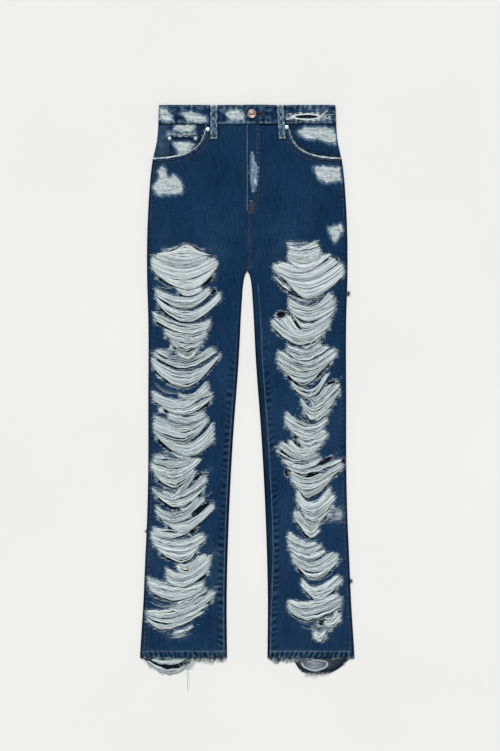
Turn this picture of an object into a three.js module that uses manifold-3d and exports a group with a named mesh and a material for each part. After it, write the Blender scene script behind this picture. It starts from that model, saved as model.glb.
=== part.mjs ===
// Ripped straight-leg jeans, laid flat on their back with the front up.
// Millimetres. X runs across, Y towards the waist and Z up from the surface they lie on.
// Right and left are the wearer's, so the right leg lies at negative X.
// "down" is the distance below the waist edge.

import * as THREE from "three";
import { mergeVertices } from "three/addons/utils/BufferGeometryUtils.js";
import Module from "manifold-3d";

const { clamp, lerp, smoothstep } = THREE.MathUtils;
const wasm = await Module();
wasm.setup();

// Cut
const frontRise = 319; // waist edge to crotch
const outseam = 1062; // waist edge to front hem
const bandHeight = 36; // waistband
const hemTurn = 13; // turned-up hem
const hemDrop = 27; // how far a back hem hangs below the front one
const hemBlend = 90; // the back panels stretch to it over this length
const hemCurve = 2.2; // how full the curve of a back hem is
const yokeAtCentre = 98; // depth of the yoke at the centre back
const yokeAtSide = 64;

// Cloth
const denim = 1.2; // one layer
const hemCloth = 2.1;
const bandCloth = 2.4; // waistband, folded double
const loopCloth = 1.6; // belt loop, folded
const weftCloth = 1; // bared threads, lying together
const gap = 0.3; // between neighbouring pieces
const ease = 2.6; // air between front and back
const bandEase = 0.9; // air inside the waistband
const rollWidth = 12; // the front bends down to a seam over this width
const crotchBlend = 45; // and starts to bend this far above the crotch

// Half width from the centre front out to the side seam
const sideSeam = [
  { down: 0, x: 169.5 },
  { down: 36, x: 171 },
  { down: 67, x: 173.5 },
  { down: 102, x: 180.5 },
  { down: 136, x: 185 },
  { down: 182, x: 188.5 },
  { down: 250, x: 191.5 },
  { down: 319, x: 192 },
  { down: 413, x: 189.5 },
  { down: 566, x: 189.5 },
  { down: 720, x: 190 },
  { down: 797, x: 192 },
  { down: 874, x: 195.5 },
  { down: 950, x: 198.7 },
  { down: 1062, x: 205.5 },
  { down: 1100, x: 207 },
];

// Half width from the centre front out to the inseam, below the crotch
const inseam = [
  { down: 319, x: 0.15 },
  { down: 322, x: 3.2 },
  { down: 329, x: 5.8 },
  { down: 344, x: 8.6 },
  { down: 374, x: 11 },
  { down: 490, x: 17.3 },
  { down: 643, x: 28.4 },
  { down: 797, x: 36.3 },
  { down: 950, x: 40.3 },
  { down: 1062, x: 39.6 },
  { down: 1100, x: 39.4 },
];

// Front pocket mouth, from the waist seam in a scoop to the side seam
const mouth = { x: 79, bendX: 82, bendDown: 80, scoopX: 106, scoopDown: 101, sideDown: 102.5, underlap: 8 };
const facingDepth = 145; // the facings are cut from a wall this deep
const coinPocket = { outerX: 154, innerX: 93, top: 60 };
const fly = { overlap: 1.5, width: 26, straight: 150, length: 206 };
const backPocket = { x: 88, top: 112, width: 140, lowWidth: 118, height: 150, point: 16 };

// Waistband fastening
const overlapX = -5.5; // free end of the left waistband
const underlapX = 22; // hidden end of the right waistband
const button = { x: 9, down: 18, radius: 8.5 };
const bandRip = { x: 114, down: 23, width: 40, height: 7 }; // a worn slit in the left waistband

// Belt loops and rivets; lean is how far a loop's lower end stands off its upper end
const loop = { width: 14, top: 1, length: 64, bulge: 1.1 };
const frontLoops = [
  { name: "belt_loop_front_right", x: -64, lean: 0 },
  { name: "belt_loop_front_left", x: 63, lean: 4 },
];
const backLoops = [
  { name: "belt_loop_back_right", x: -118 },
  { name: "belt_loop_back_centre", x: 0 },
  { name: "belt_loop_back_left", x: 118 },
];
const rivetRadius = 4;
const mouthRivets = [
  { name: "rivet_mouth_right", x: -75.5, down: 47 },
  { name: "rivet_mouth_left", x: 75.5, down: 43 },
];
const coinRivets = [
  { name: "rivet_coin_outer", x: -149, down: 65 },
  { name: "rivet_coin_inner", x: -99, down: 65 },
];

// Largest folds of the front: place, direction from the cross-wise, length, width and height
const folds = [
  { x: -52, down: 285, turn: 28, length: 60, width: 20, height: 1.2 },
  { x: 50, down: 288, turn: -30, length: 60, width: 20, height: 1.2 },
  { x: -60, down: 232, turn: 14, length: 80, width: 24, height: 0.8 },
  { x: 64, down: 236, turn: -12, length: 80, width: 24, height: 0.9 },
  { x: -45, down: 560, turn: 86, length: 120, width: 16, height: 0.9 },
  { x: 48, down: 520, turn: 94, length: 130, width: 16, height: 1 },
  { x: -62, down: 900, turn: 95, length: 110, width: 18, height: 0.9 },
  { x: 66, down: 880, turn: 86, length: 120, width: 18, height: 0.9 },
  { x: -178, down: 640, turn: 88, length: 160, width: 16, height: 0.6 },
  { x: 176, down: 620, turn: 92, length: 160, width: 16, height: 0.6 },
];

// Rips. The threads hang between two roots, left and right as seen from above.
// left, right: the root's top and bottom ends, as x, down, x, down
// sag: the x where the threads hang lowest, and how far down the first and the last hang there
const ripsRight = [
  { left: [-183, 284, -181, 317], right: [-64, 292, -56, 315], sag: [-116, 267, 367] },
  { left: [-175, 353, -173, 382], right: [-73, 351, -52, 367], sag: [-114, 371, 415] },
  { left: [-181, 394, -156, 449], right: [-70, 411, -83, 455], sag: [-114, 422, 490] },
  { left: [-175, 476, -168, 522], right: [-64, 467, -54, 492], sag: [-116, 495, 540] },
  { left: [-181, 549, -175, 576], right: [-75, 530, -66, 570], sag: [-118, 570, 589] },
  { left: [-183, 599, -177, 630], right: [-81, 589, -66, 649], sag: [-118, 593, 666] },
  { left: [-183, 676, -171, 718], right: [-85, 676, -102, 701], sag: [-129, 676, 733] },
  { left: [-185, 735, -179, 747], right: [-85, 712, -77, 730], sag: [-127, 749, 774] },
  { left: [-173, 768, -171, 791], right: [-83, 758, -64, 768], sag: [-125, 783, 814] },
  { left: [-187, 820, -179, 851], right: [-79, 816, -87, 843], sag: [-123, 822, 866] },
  { left: [-154, 891, -152, 912], right: [-75, 868, -72, 889], sag: [-116, 879, 922] },
  { left: [-191, 910, -185, 935], right: [-83, 910, -81, 933], sag: [-129, 927, 952] },
  { left: [-191, 970, -185, 996], right: [-77, 939, -64, 945], sag: [-129, 964, 1008] },
];
const ripsLeft = [
  { left: [78, 273, 80, 298], right: [136, 269, 138, 292], sag: [107, 271, 309] },
  { left: [61, 305, 53, 330], right: [161, 290, 186, 324], sag: [119, 317, 371] },
  { left: [80, 374, 78, 397], right: [161, 361, 167, 392], sag: [117, 392, 426] },
  { left: [59, 405, 46, 426], right: [159, 415, 145, 445], sag: [107, 434, 459] },
  { left: [69, 470, 61, 507], right: [142, 463, 167, 482], sag: [111, 474, 534] },
  { left: [92, 538, 98, 550], right: [153, 518, 159, 526], sag: [124, 549, 561] },
  { left: [103, 564, 109, 588], right: [161, 540, 168, 574], sag: [124, 570, 605] },
  { left: [74, 591, 78, 626], right: [155, 601, 145, 622], sag: [117, 612, 639] },
  { left: [63, 647, 57, 668], right: [149, 630, 147, 655], sag: [105, 655, 678] },
  { left: [72, 685, 76, 720], right: [178, 680, 167, 708], sag: [117, 689, 751] },
  { left: [95, 746, 97, 774], right: [155, 737, 168, 766], sag: [122, 764, 803] },
  { left: [88, 778, 90, 799], right: [170, 783, 170, 801], sag: [120, 808, 828] },
  { left: [80, 820, 78, 851], right: [140, 843, 142, 854], sag: [115, 839, 856] },
  { left: [84, 860, 84, 883], right: [170, 860, 172, 879], sag: [128, 866, 906] },
  { left: [105, 912, 105, 929], right: [174, 902, 178, 922], sag: [130, 927, 948] },
  { left: [78, 952, 78, 975], right: [178, 947, 178, 966], sag: [124, 956, 989] },
  { left: [128, 1010, 126, 1023], right: [180, 973, 180, 1000], sag: [151, 1004, 1029] },
];
const ripWeft = {
  sag: 1.8, // power of the curve that a thread hangs in
  hang: 0.3, // share of that curve that the cut edge follows
  edge: 4, // how far the cut stops short of each root
  root: 4, // width of the strip that holds the threads at each side
  lockHeight: 12, // threads hang together in locks about this deep
  steps: 5, // straight stretches along a lock
  slit: 0.17, // share of a lock lost to the slit beside it
  rise: 0.6, // clearance over the panel
  loose: 0.5, // how much higher every other lock stands in the middle
};

// Frayed hems; the back hem hangs lower between two places across the leg
const fray = { strip: 2, cloth: 1, strands: 18, length: 6, uneven: 2, lean: 1.5, neck: 3, thin: 0.45 };
const frontTip = 2.4; // height at which front strands end
const backTip = 0.6;
const hems = [
  { leg: "right", side: -1, from: -200, to: -102, looseThread: { x: -114, length: 54 } },
  { leg: "left", side: 1, from: 90, to: 197, looseThread: null },
];

// Colours from the photograph
const materials = {
  denim: new THREE.MeshStandardMaterial({ color: 0x1b3a58, roughness: 0.9 }),
  weft: new THREE.MeshStandardMaterial({ color: 0xc9d5d6, roughness: 0.95 }),
  copper: new THREE.MeshStandardMaterial({ color: 0xa87f6c, roughness: 0.4, metalness: 1 }),
  silver: new THREE.MeshStandardMaterial({ color: 0xc9c9c6, roughness: 0.35, metalness: 1 }),
};

const jeans = new THREE.Group();

function addPiece(name, geometry, material) {
  const mesh = new THREE.Mesh(geometry, material);
  mesh.name = name;
  jeans.add(mesh);
}

// Triangles collected into one closed surface
class Facets {
  points = [];

  triangle(a, b, c) {
    for (const point of [a, b, c]) this.points.push(...point);
  }

  quad(a, b, c, d) {
    this.triangle(a, b, c);
    this.triangle(a, c, d);
  }

  geometry() {
    const geometry = new THREE.BufferGeometry();
    geometry.setAttribute("position", new THREE.Float32BufferAttribute(this.points, 3));
    return geometry;
  }
}

const low = (node) => [node.x, -node.down, node.low];
const high = (node) => [node.x, -node.down, node.high];

// Faces of one cell of a wall; a to d run down, across, up and back, seen from above
const cell = {
  faces(facets, a, b, c, d) {
    facets.quad(high(a), high(b), high(c), high(d));
    facets.quad(low(a), low(d), low(c), low(b));
  },
  upperEdge: (facets, a, b, c, d) => facets.quad(high(a), high(d), low(d), low(a)),
  lowerEdge: (facets, a, b, c, d) => facets.quad(high(c), high(b), low(b), low(c)),
  leftEdge: (facets, a, b, c, d) => facets.quad(high(b), high(a), low(a), low(b)),
  rightEdge: (facets, a, b, c, d) => facets.quad(high(d), high(c), low(c), low(d)),
};

// The cell between rising edges that holds a value
function cellOf(edges, value) {
  const passed = edges.filter((edge) => edge <= value).length;
  return clamp(passed - 1, 0, edges.length - 2);
}

// A cloth wall over a grid of places, with the heights of its faces for what lies against it
function clothWall({ downs, acrossAt, under, cloth, drop = () => 0 }) {
  const place = (x, down) => {
    const fallen = down + drop(x, down);
    const bottom = under(x, fallen);
    return { x, down: fallen, low: bottom, high: bottom + cloth(fallen) };
  };
  const rows = downs.map((down) => acrossAt(down).map((x) => place(x, down)));
  const lastRow = rows.length - 2;
  const lastColumn = rows[0].length - 2;
  const facets = new Facets();
  for (let i = 0; i <= lastRow; i += 1) {
    for (let j = 0; j <= lastColumn; j += 1) {
      const corners = [rows[i][j], rows[i + 1][j], rows[i + 1][j + 1], rows[i][j + 1]];
      cell.faces(facets, ...corners);
      if (i === 0) cell.upperEdge(facets, ...corners);
      if (i === lastRow) cell.lowerEdge(facets, ...corners);
      if (j === 0) cell.leftEdge(facets, ...corners);
      if (j === lastColumn) cell.rightEdge(facets, ...corners);
    }
  }
  const heightAt = (face, x, down) => {
    const i = cellOf(downs, down);
    const share = clamp((down - downs[i]) / (downs[i + 1] - downs[i]), 0, 1);
    const across = rows[i].map((node, j) => ({
      x: lerp(node.x, rows[i + 1][j].x, share),
      z: lerp(node[face], rows[i + 1][j][face], share),
    }));
    const j = cellOf(across.map((node) => node.x), x);
    const between = clamp((x - across[j].x) / (across[j + 1].x - across[j].x), 0, 1);
    return lerp(across[j].z, across[j + 1].z, between);
  };
  return {
    geometry: facets.geometry(),
    topAt: (x, down) => heightAt("high", x, down),
    underAt: (x, down) => heightAt("low", x, down),
  };
}

// Solids, for cutting
function solid(geometry) {
  const bare = new THREE.BufferGeometry();
  bare.setAttribute("position", geometry.getAttribute("position"));
  bare.setIndex(geometry.index);
  const merged = mergeVertices(bare, 1e-4);
  const mesh = new wasm.Mesh({
    numProp: 3,
    vertProperties: new Float32Array(merged.getAttribute("position").array),
    triVerts: new Uint32Array(merged.index.array),
  });
  return new wasm.Manifold(mesh);
}

function fromSolid(body) {
  const mesh = body.getMesh();
  const geometry = new THREE.BufferGeometry();
  geometry.setAttribute("position", new THREE.BufferAttribute(mesh.vertProperties, 3));
  geometry.setIndex(new THREE.BufferAttribute(mesh.triVerts, 1));
  return geometry;
}

function prism(shape) {
  const depth = 40;
  const geometry = new THREE.ExtrudeGeometry(shape, { depth, bevelEnabled: false, curveSegments: 8 });
  return solid(geometry.translate(0, 0, -depth / 2));
}

const planShape = (points) => new THREE.Shape(points.map(([x, down]) => new THREE.Vector2(x, -down)));

const far = 260; // past the edge of the garment, for cuts that run out

// Outline
function alongTable(table) {
  const spline = new THREE.CubicInterpolant(
    table.map((row) => row.down),
    table.map((row) => row.x),
    1,
  );
  return (down) => spline.evaluate(down)[0];
}

const sideX = alongTable(sideSeam);
const legInnerX = alongTable(inseam);
const innerX = (down) => (down <= frontRise ? gap / 2 : legInnerX(down));

function evenly(from, to, steps) {
  return Array.from({ length: steps + 1 }, (_, i) => lerp(from, to, i / steps));
}

// Columns across a panel, closer where it bends down to a seam
function columns(from, to, middles) {
  const inside = evenly(from + rollWidth, to - rollWidth, middles);
  return [from, from + rollWidth / 4, ...inside, to - rollWidth / 4, to];
}

// Heights
function outsideBox(x, down, box) {
  const across = Math.max(Math.abs(x - box.x) - box.width / 2, 0);
  const along = Math.max(box.top - down, down - box.top - box.height, 0);
  return Math.hypot(across, along);
}

// What lies between the back and the surface, and lifts the back over it
const pads = [
  ...[-1, 1].map((side) => ({ ...backPocket, x: side * backPocket.x, lift: denim + gap })),
  ...backLoops.map(({ x }) => (
    { x, top: 0, width: loop.width, height: loop.length, lift: loopCloth + gap }
  )),
];
const padFlat = 22; // the back stays lifted this far past a pad
const padFall = 24; // and comes down over this width

function backLift(x, down) {
  const lifts = pads.map((pad) => {
    const away = outsideBox(x, down, pad);
    return pad.lift * (1 - smoothstep(away, padFlat, padFlat + padFall));
  });
  return Math.max(...lifts);
}

function roll(away) {
  const bend = 1 - Math.min(Math.max(away, 0) / rollWidth, 1);
  return Math.sqrt(1 - bend * bend);
}

function seamRoll(x, down) {
  const toSide = sideX(down) - Math.abs(x);
  const toInseam = Math.abs(x) - innerX(down);
  const crotch = smoothstep(down, frontRise - crotchBlend, frontRise);
  return roll(toSide) * lerp(1, roll(toInseam), crotch);
}

function foldHeight(x, down) {
  return folds.reduce((sum, fold) => {
    const turn = THREE.MathUtils.degToRad(fold.turn);
    const alongX = Math.cos(turn);
    const alongDown = Math.sin(turn);
    const along = (x - fold.x) * alongX + (down - fold.down) * alongDown;
    const across = (down - fold.down) * alongX - (x - fold.x) * alongDown;
    return sum + fold.height * Math.exp(-((along / fold.length) ** 2) - (across / fold.width) ** 2);
  }, 0);
}

const frontUnder = (x, down) =>
  backLift(x, down) + denim + gap + (ease - gap + foldHeight(x, down)) * seamRoll(x, down);
const bandUnder = (x, down) =>
  backLift(x, down) + bandCloth + gap + (bandEase - gap) * roll(sideX(down) - Math.abs(x));
const frontCloth = (down) => (down < outseam - hemTurn ? denim : hemCloth);
const oneLayer = () => denim;

// Rips
function rootPoint([topX, topDown, lowX, lowDown], depth) {
  return [lerp(topX, lowX, depth), lerp(topDown, lowDown, depth)];
}

// A point at a share of the way across, on the thread at a depth between the first and the last
function ripPoint(rip, share, depth, hang = 1) {
  const [leftX, leftDown] = rootPoint(rip.left, depth);
  const [rightX, rightDown] = rootPoint(rip.right, depth);
  const [lowX, first, last] = rip.sag;
  const lowest = (lowX - leftX) / (rightX - leftX);
  const drop = lerp(first, last, depth) - lerp(leftDown, rightDown, lowest);
  const away = share < lowest ? (lowest - share) / lowest : (share - lowest) / (1 - lowest);
  const sag = (drop > 0 ? drop * hang : drop) * (1 - away ** ripWeft.sag);
  return { x: lerp(leftX, rightX, share), down: lerp(leftDown, rightDown, share) + sag };
}

function ripOpening(rip) {
  const inset = ripWeft.edge / (rip.right[0] - rip.left[0]);
  const shares = evenly(inset, 1 - inset, 4);
  const upper = shares.map((share) => ripPoint(rip, share, 0, ripWeft.hang));
  const lower = shares.map((share) => ripPoint(rip, share, 1, ripWeft.hang));
  return planShape([...upper, ...lower.reverse()].map(({ x, down }) => [x, down]));
}

// Threads of one rip: locks that hang apart, held at each side by a narrow strip on the panel
function ripThreads(rip, panel) {
  const [, first, last] = rip.sag;
  const locks = clamp(Math.round((last - first) / ripWeft.lockHeight), 2, 8);
  const { steps } = ripWeft;
  const stationAt = (j) => clamp(j, 0, steps) / steps;
  const place = (lock, edge, j) => {
    const share = stationAt(j);
    const free = Math.max(Math.sin(Math.PI * share), 0);
    const isOuter = lock + edge === 0 || lock + edge === locks;
    const slit = isOuter ? 0 : ripWeft.slit * Math.sqrt(free);
    const depth = (lock + edge + (edge ? -slit : slit)) / locks;
    const point = ripPoint(rip, share, depth);
    const x = point.x + (j < 0 ? -ripWeft.root : 0) + (j > steps ? ripWeft.root : 0);
    const loose = lock % 2 ? ripWeft.loose : 0;
    const bottom = panel.topAt(x, point.down) + ripWeft.rise + loose * free;
    return { x, down: point.down, low: bottom, high: bottom + weftCloth };
  };
  const facets = new Facets();
  for (let lock = 0; lock < locks; lock += 1) {
    for (let j = -1; j <= steps; j += 1) {
      const corners = [place(lock, 0, j), place(lock, 1, j), place(lock, 1, j + 1), place(lock, 0, j + 1)];
      const hangs = j >= 0 && j < steps;
      cell.faces(facets, ...corners);
      if (hangs || lock === 0) cell.upperEdge(facets, ...corners);
      if (hangs || lock === locks - 1) cell.lowerEdge(facets, ...corners);
      if (j === -1) cell.leftEdge(facets, ...corners);
      if (j === steps) cell.rightEdge(facets, ...corners);
    }
  }
  return facets.geometry();
}

// Pocket mouth, as the plan of what the front panel leaves open; inset draws it smaller
function mouthShape(side, inset = 0) {
  const shape = new THREE.Shape();
  shape.moveTo(side * (mouth.x + inset), 0);
  shape.lineTo(side * (mouth.x + inset), -bandHeight);
  shape.bezierCurveTo(
    side * (mouth.bendX + inset),
    inset - mouth.bendDown,
    side * (mouth.scoopX + inset),
    inset - mouth.scoopDown,
    side * sideX(mouth.sideDown),
    inset - mouth.sideDown,
  );
  shape.lineTo(side * far, inset - mouth.sideDown);
  shape.lineTo(side * far, 0);
  return shape;
}

function facingShape(side) {
  const seamX = sideX(mouth.sideDown) - rollWidth;
  const seamDown = mouth.sideDown - 2;
  const shape = new THREE.Shape();
  shape.moveTo(side * (mouth.x - mouth.underlap), 0);
  shape.lineTo(side * (mouth.x - mouth.underlap), -bandHeight - gap);
  shape.bezierCurveTo(
    side * (mouth.bendX - mouth.underlap),
    -mouth.bendDown - mouth.underlap,
    side * (mouth.scoopX - mouth.underlap),
    -mouth.scoopDown - mouth.underlap,
    side * (seamX - mouth.underlap),
    -seamDown - mouth.underlap,
  );
  shape.lineTo(side * (seamX - mouth.underlap / 2), -seamDown);
  shape.lineTo(side * far, -seamDown);
  shape.lineTo(side * far, 0);
  return shape;
}

// Stations down the front
const waistSeam = bandHeight + gap;
const topDowns = evenly(waistSeam, frontRise, 10);
const crotchDowns = inseam.slice(1, 4).map((row) => row.down);
const thigh = crotchDowns[2];
const hemTop = outseam - hemTurn;
const hemDowns = [hemTop, outseam];
const legDowns = evenly(thigh, hemTop - hemCloth, 12).slice(1);
const frontDowns = [...topDowns, ...crotchDowns, ...legDowns, ...hemDowns];

const panelEdges = (side, down) => [side * innerX(down), side * sideX(down)].sort((a, b) => a - b);

// Fronts, with their facings, rips and threads
function addFront(leg, side, rips) {
  const acrossAt = (down) => columns(...panelEdges(side, down), 7);
  const panel = clothWall({
    downs: frontDowns,
    acrossAt,
    under: frontUnder,
    cloth: frontCloth,
  });
  let body = solid(panel.geometry).subtract(prism(mouthShape(side)));
  for (const rip of rips) body = body.subtract(prism(ripOpening(rip)));
  addPiece(`front_${leg}`, fromSolid(body), materials.denim);

  rips.forEach((rip, i) => {
    const number = String(i + 1).padStart(2, "0");
    addPiece(`rip_${leg}_${number}`, ripThreads(rip, panel), materials.weft);
  });

  const facing = clothWall({
    downs: topDowns.filter((down) => down < facingDepth),
    acrossAt,
    under: (x, down) => {
      const overBack = backLift(x, down) + denim + gap;
      return Math.max(overBack, panel.underAt(x, down) - gap - denim);
    },
    cloth: oneLayer,
  });
  const facingBody = solid(facing.geometry).intersect(prism(facingShape(side)));
  addPiece(`pocket_facing_${leg}`, fromSolid(facingBody), materials.denim);
  return { panel, facing };
}

const right = addFront("right", -1, ripsRight);
const left = addFront("left", 1, ripsLeft);
const frontTop = (x, down) => (x < 0 ? right : left).panel.topAt(x, down);

// Coin pocket, on the right facing; the front panel hides its lower end
function addCoinPocket() {
  const wall = clothWall({
    downs: evenly(coinPocket.top, mouth.sideDown, 4),
    acrossAt: () => evenly(-coinPocket.outerX, -coinPocket.innerX, 5),
    under: (x, down) => right.facing.topAt(x, down) + gap,
    cloth: oneLayer,
  });
  const body = solid(wall.geometry).intersect(prism(mouthShape(-1, 1)));
  addPiece("coin_pocket", fromSolid(body), materials.denim);
  return wall;
}

const coin = addCoinPocket();

// Fly, on the left front, with a J-shaped edge
function addFly() {
  const wall = clothWall({
    downs: [...topDowns.filter((down) => down < fly.length), fly.length],
    acrossAt: () => [-fly.overlap, gap / 2, rollWidth / 4, rollWidth, rollWidth * 1.6, fly.width],
    under: (x, down) => Math.max(left.panel.topAt(x, down), right.panel.topAt(x, down)) + gap,
    cloth: oneLayer,
  });
  const shape = new THREE.Shape();
  shape.moveTo(-fly.overlap, -waistSeam);
  shape.lineTo(fly.width, -waistSeam);
  shape.lineTo(fly.width, -fly.straight);
  shape.quadraticCurveTo(fly.width, -fly.length, -fly.overlap, -fly.length);
  const body = solid(wall.geometry).intersect(prism(shape));
  addPiece("fly", fromSolid(body), materials.denim);
}

addFly();

// Backs: one wall for each side, cut along the yoke seam, with hems that hang lower
const backColumns = 9;
const backDowns = [...topDowns, ...crotchDowns, ...evenly(thigh, outseam, 9).slice(1)];

function hemFall(hem, x) {
  const share = clamp((x - hem.from) / (hem.to - hem.from), 0, 1);
  return hemDrop * (1 - Math.abs(2 * share - 1) ** hemCurve);
}

// The hem's edge runs straight from column to column
function hemEdge(hem, x) {
  const xs = evenly(...panelEdges(hem.side, outseam), backColumns);
  const j = cellOf(xs, x);
  return outseam + lerp(hemFall(hem, xs[j]), hemFall(hem, xs[j + 1]), (x - xs[j]) / (xs[j + 1] - xs[j]));
}

function addBack(hem) {
  const { leg, side } = hem;
  const wall = clothWall({
    downs: backDowns,
    acrossAt: (down) => evenly(...panelEdges(side, down), backColumns),
    under: backLift,
    cloth: oneLayer,
    drop: (x, down) => hemFall(hem, x) * smoothstep(down, outseam - hemBlend, outseam),
  });
  const rise = (yokeAtCentre - yokeAtSide) / sideX(yokeAtSide);
  const cutAt = (shift, end) => prism(planShape([
    [0, yokeAtCentre + shift],
    [side * far, yokeAtCentre - rise * far + shift],
    [side * far, end],
    [0, end],
  ]));
  const body = solid(wall.geometry);
  addPiece(`yoke_${leg}`, fromSolid(body.intersect(cutAt(-gap / 2, -60))), materials.denim);
  addPiece(`back_${leg}`, fromSolid(body.intersect(cutAt(gap / 2, outseam * 2))), materials.denim);
}

function addBackPocket(leg, side) {
  const { x, top, width, lowWidth, height, point } = backPocket;
  const shape = planShape([
    [side * x - width / 2, top],
    [side * x + width / 2, top],
    [side * x + lowWidth / 2, top + height - point],
    [side * x, top + height],
    [side * x - lowWidth / 2, top + height - point],
  ]);
  const geometry = new THREE.ExtrudeGeometry(shape, { depth: denim, bevelEnabled: false });
  addPiece(`back_pocket_${leg}`, geometry, materials.denim);
}

for (const hem of hems) {
  addBack(hem);
  addBackPocket(hem.leg, hem.side);
}

// Waistband: two fronts, the left one lying over the right one's end, and a back
const bandDowns = evenly(0, bandHeight, 2);
const bandStep = 14;

function bandWall(from, to, under) {
  return clothWall({
    downs: bandDowns,
    acrossAt: (down) => {
      const start = from(down);
      const end = to(down);
      const middles = Math.round((end - start) / bandStep);
      return columns(start, end, middles);
    },
    under,
    cloth: () => bandCloth,
  });
}

const overlapLift = (x) =>
  (bandCloth + gap) * (1 - smoothstep(x, underlapX + bandStep, underlapX + 3 * bandStep));
const bandRight = bandWall((down) => -sideX(down), () => underlapX, bandUnder);
const bandLeft = bandWall(() => overlapX, sideX, (x, down) => bandUnder(x, down) + overlapLift(x));
const bandBack = bandWall((down) => -sideX(down), sideX, backLift);
const slit = new THREE.Shape();
slit.absellipse(bandRip.x, -bandRip.down, bandRip.width / 2, bandRip.height / 2, 0, 2 * Math.PI);
addPiece("waistband_right", bandRight.geometry, materials.denim);
addPiece("waistband_left", fromSolid(solid(bandLeft.geometry).subtract(prism(slit))), materials.denim);
addPiece("waistband_back", bandBack.geometry, materials.denim);
const bandTop = (x, down) => (x < overlapX ? bandRight : bandLeft).topAt(x, down);

// Belt loops
function loopBase(x, down) {
  if (down > bandHeight + bandStep) return frontTop(x, down);
  return Math.max(bandTop(x, Math.min(down, bandHeight)), frontTop(x, Math.max(down, waistSeam)));
}

for (const { name, x, lean } of frontLoops) {
  const wall = clothWall({
    downs: evenly(loop.top, loop.top + loop.length, 8),
    acrossAt: (down) => {
      const middle = x + lean * (down / loop.length);
      return evenly(middle - loop.width / 2, middle + loop.width / 2, 2);
    },
    under: (atX, down) => {
      const bulge = Math.sin(Math.PI * (down - loop.top) / loop.length);
      return loopBase(atX, down) + 2 * gap + loop.bulge * bulge;
    },
    cloth: () => loopCloth,
  });
  addPiece(name, wall.geometry, materials.denim);
}

for (const { name, x } of backLoops) {
  const wall = clothWall({
    downs: evenly(loop.top, loop.top + loop.length, 1),
    acrossAt: () => evenly(x - loop.width / 2, x + loop.width / 2, 1),
    under: () => 0,
    cloth: () => loopCloth,
  });
  addPiece(name, wall.geometry, materials.denim);
}

// Turned metal, standing on the cloth at a place
function addTurned(name, profile, sides, place, material) {
  const points = profile.map(([radius, height]) => new THREE.Vector2(radius, height));
  const geometry = new THREE.LatheGeometry(points, sides);
  geometry.rotateX(Math.PI / 2);
  geometry.translate(place.x, -place.down, place.z);
  addPiece(name, geometry, material);
}

const buttonProfile = [
  [0, 0],
  [button.radius * 0.5, 0],
  [button.radius * 0.5, 1.2],
  [button.radius, 1.2],
  [button.radius, 2.6],
  [button.radius * 0.92, 3.2],
  [button.radius * 0.74, 3.2],
  [button.radius * 0.62, 2.5],
  [0, 2.7],
];
const buttonZ = bandTop(button.x, button.down) + 2 * gap;
addTurned("button", buttonProfile, 16, { ...button, z: buttonZ }, materials.copper);

const rivetProfile = [
  [0, 0],
  [rivetRadius, 0],
  [rivetRadius, 0.7],
  [rivetRadius * 0.7, 1.4],
  [rivetRadius * 0.35, 1.5],
  [0, 1.2],
];
for (const rivet of mouthRivets) {
  const z = frontTop(rivet.x, rivet.down) + 2 * gap;
  addTurned(rivet.name, rivetProfile, 8, { ...rivet, z }, materials.silver);
}
for (const rivet of coinRivets) {
  const z = coin.topAt(rivet.x, rivet.down) + 2 * gap;
  addTurned(rivet.name, rivetProfile, 8, { ...rivet, z }, materials.silver);
}

// Frayed edge: a narrow strip just past a hem, with tapering strands of uneven length
function addFray(name, hem, edgeAt, tipHeight, looseThread) {
  const xs = evenly(...panelEdges(hem.side, outseam), fray.strands);
  const facets = new Facets();
  const place = (x, past) => {
    const edge = edgeAt(x);
    return { x, down: edge.down + gap + past, low: edge.z, high: edge.z + fray.cloth };
  };
  // Sines out of step with each other make the lengths uneven
  const lengthOf = (strand, from, to) => {
    if (looseThread && looseThread.x >= from && looseThread.x < to) return looseThread.length;
    return fray.length + fray.uneven * (Math.sin(strand * 2.4) + Math.sin(strand * 5.1 + hem.side));
  };
  for (let strand = 0; strand < fray.strands; strand += 1) {
    const root = [
      place(xs[strand], 0),
      place(xs[strand], fray.strip),
      place(xs[strand + 1], fray.strip),
      place(xs[strand + 1], 0),
    ];
    const [, b, c] = root;
    cell.faces(facets, ...root);
    cell.upperEdge(facets, ...root);
    if (strand === 0) cell.leftEdge(facets, ...root);
    if (strand === fray.strands - 1) cell.rightEdge(facets, ...root);

    const middle = (b.x + c.x) / 2;
    const lean = Math.sin(strand * 3.7) * fray.lean;
    const neck = place(middle + lean / 3, fray.strip + fray.neck);
    const heart = lerp((neck.low + neck.high) / 2, tipHeight, 1 / 3);
    const e = { x: neck.x - fray.thin, down: neck.down, low: heart - fray.thin, high: heart + fray.thin };
    const f = { ...e, x: neck.x + fray.thin };
    const end = place(middle, fray.strip + lengthOf(strand, b.x, c.x));
    const tip = [middle + lean, -end.down, tipHeight];
    cell.faces(facets, b, e, f, c);
    cell.leftEdge(facets, b, e, f, c);
    cell.rightEdge(facets, b, e, f, c);
    facets.triangle(high(e), tip, high(f));
    facets.triangle(low(e), low(f), tip);
    facets.triangle(tip, high(e), low(e));
    facets.triangle(high(f), tip, low(f));
  }
  addPiece(name, facets.geometry(), materials.weft);
}

for (const hem of hems) {
  const frontEdge = (x) => ({ down: outseam, z: frontUnder(x, outseam) + gap });
  const backEdge = (x) => ({ down: hemEdge(hem, x), z: gap / 2 });
  addFray(`fray_front_${hem.leg}`, hem, frontEdge, frontTip, null);
  addFray(`fray_back_${hem.leg}`, hem, backEdge, backTip, hem.looseThread);
}

// The origin is under the middle of the garment, on the surface it lies on
const box = new THREE.Box3().setFromObject(jeans);
jeans.position.y = -(box.min.y + box.max.y) / 2;

export default jeans;
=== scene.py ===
import math

import bmesh
import bpy
import numpy as np
from mathutils import Matrix, Vector


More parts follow.
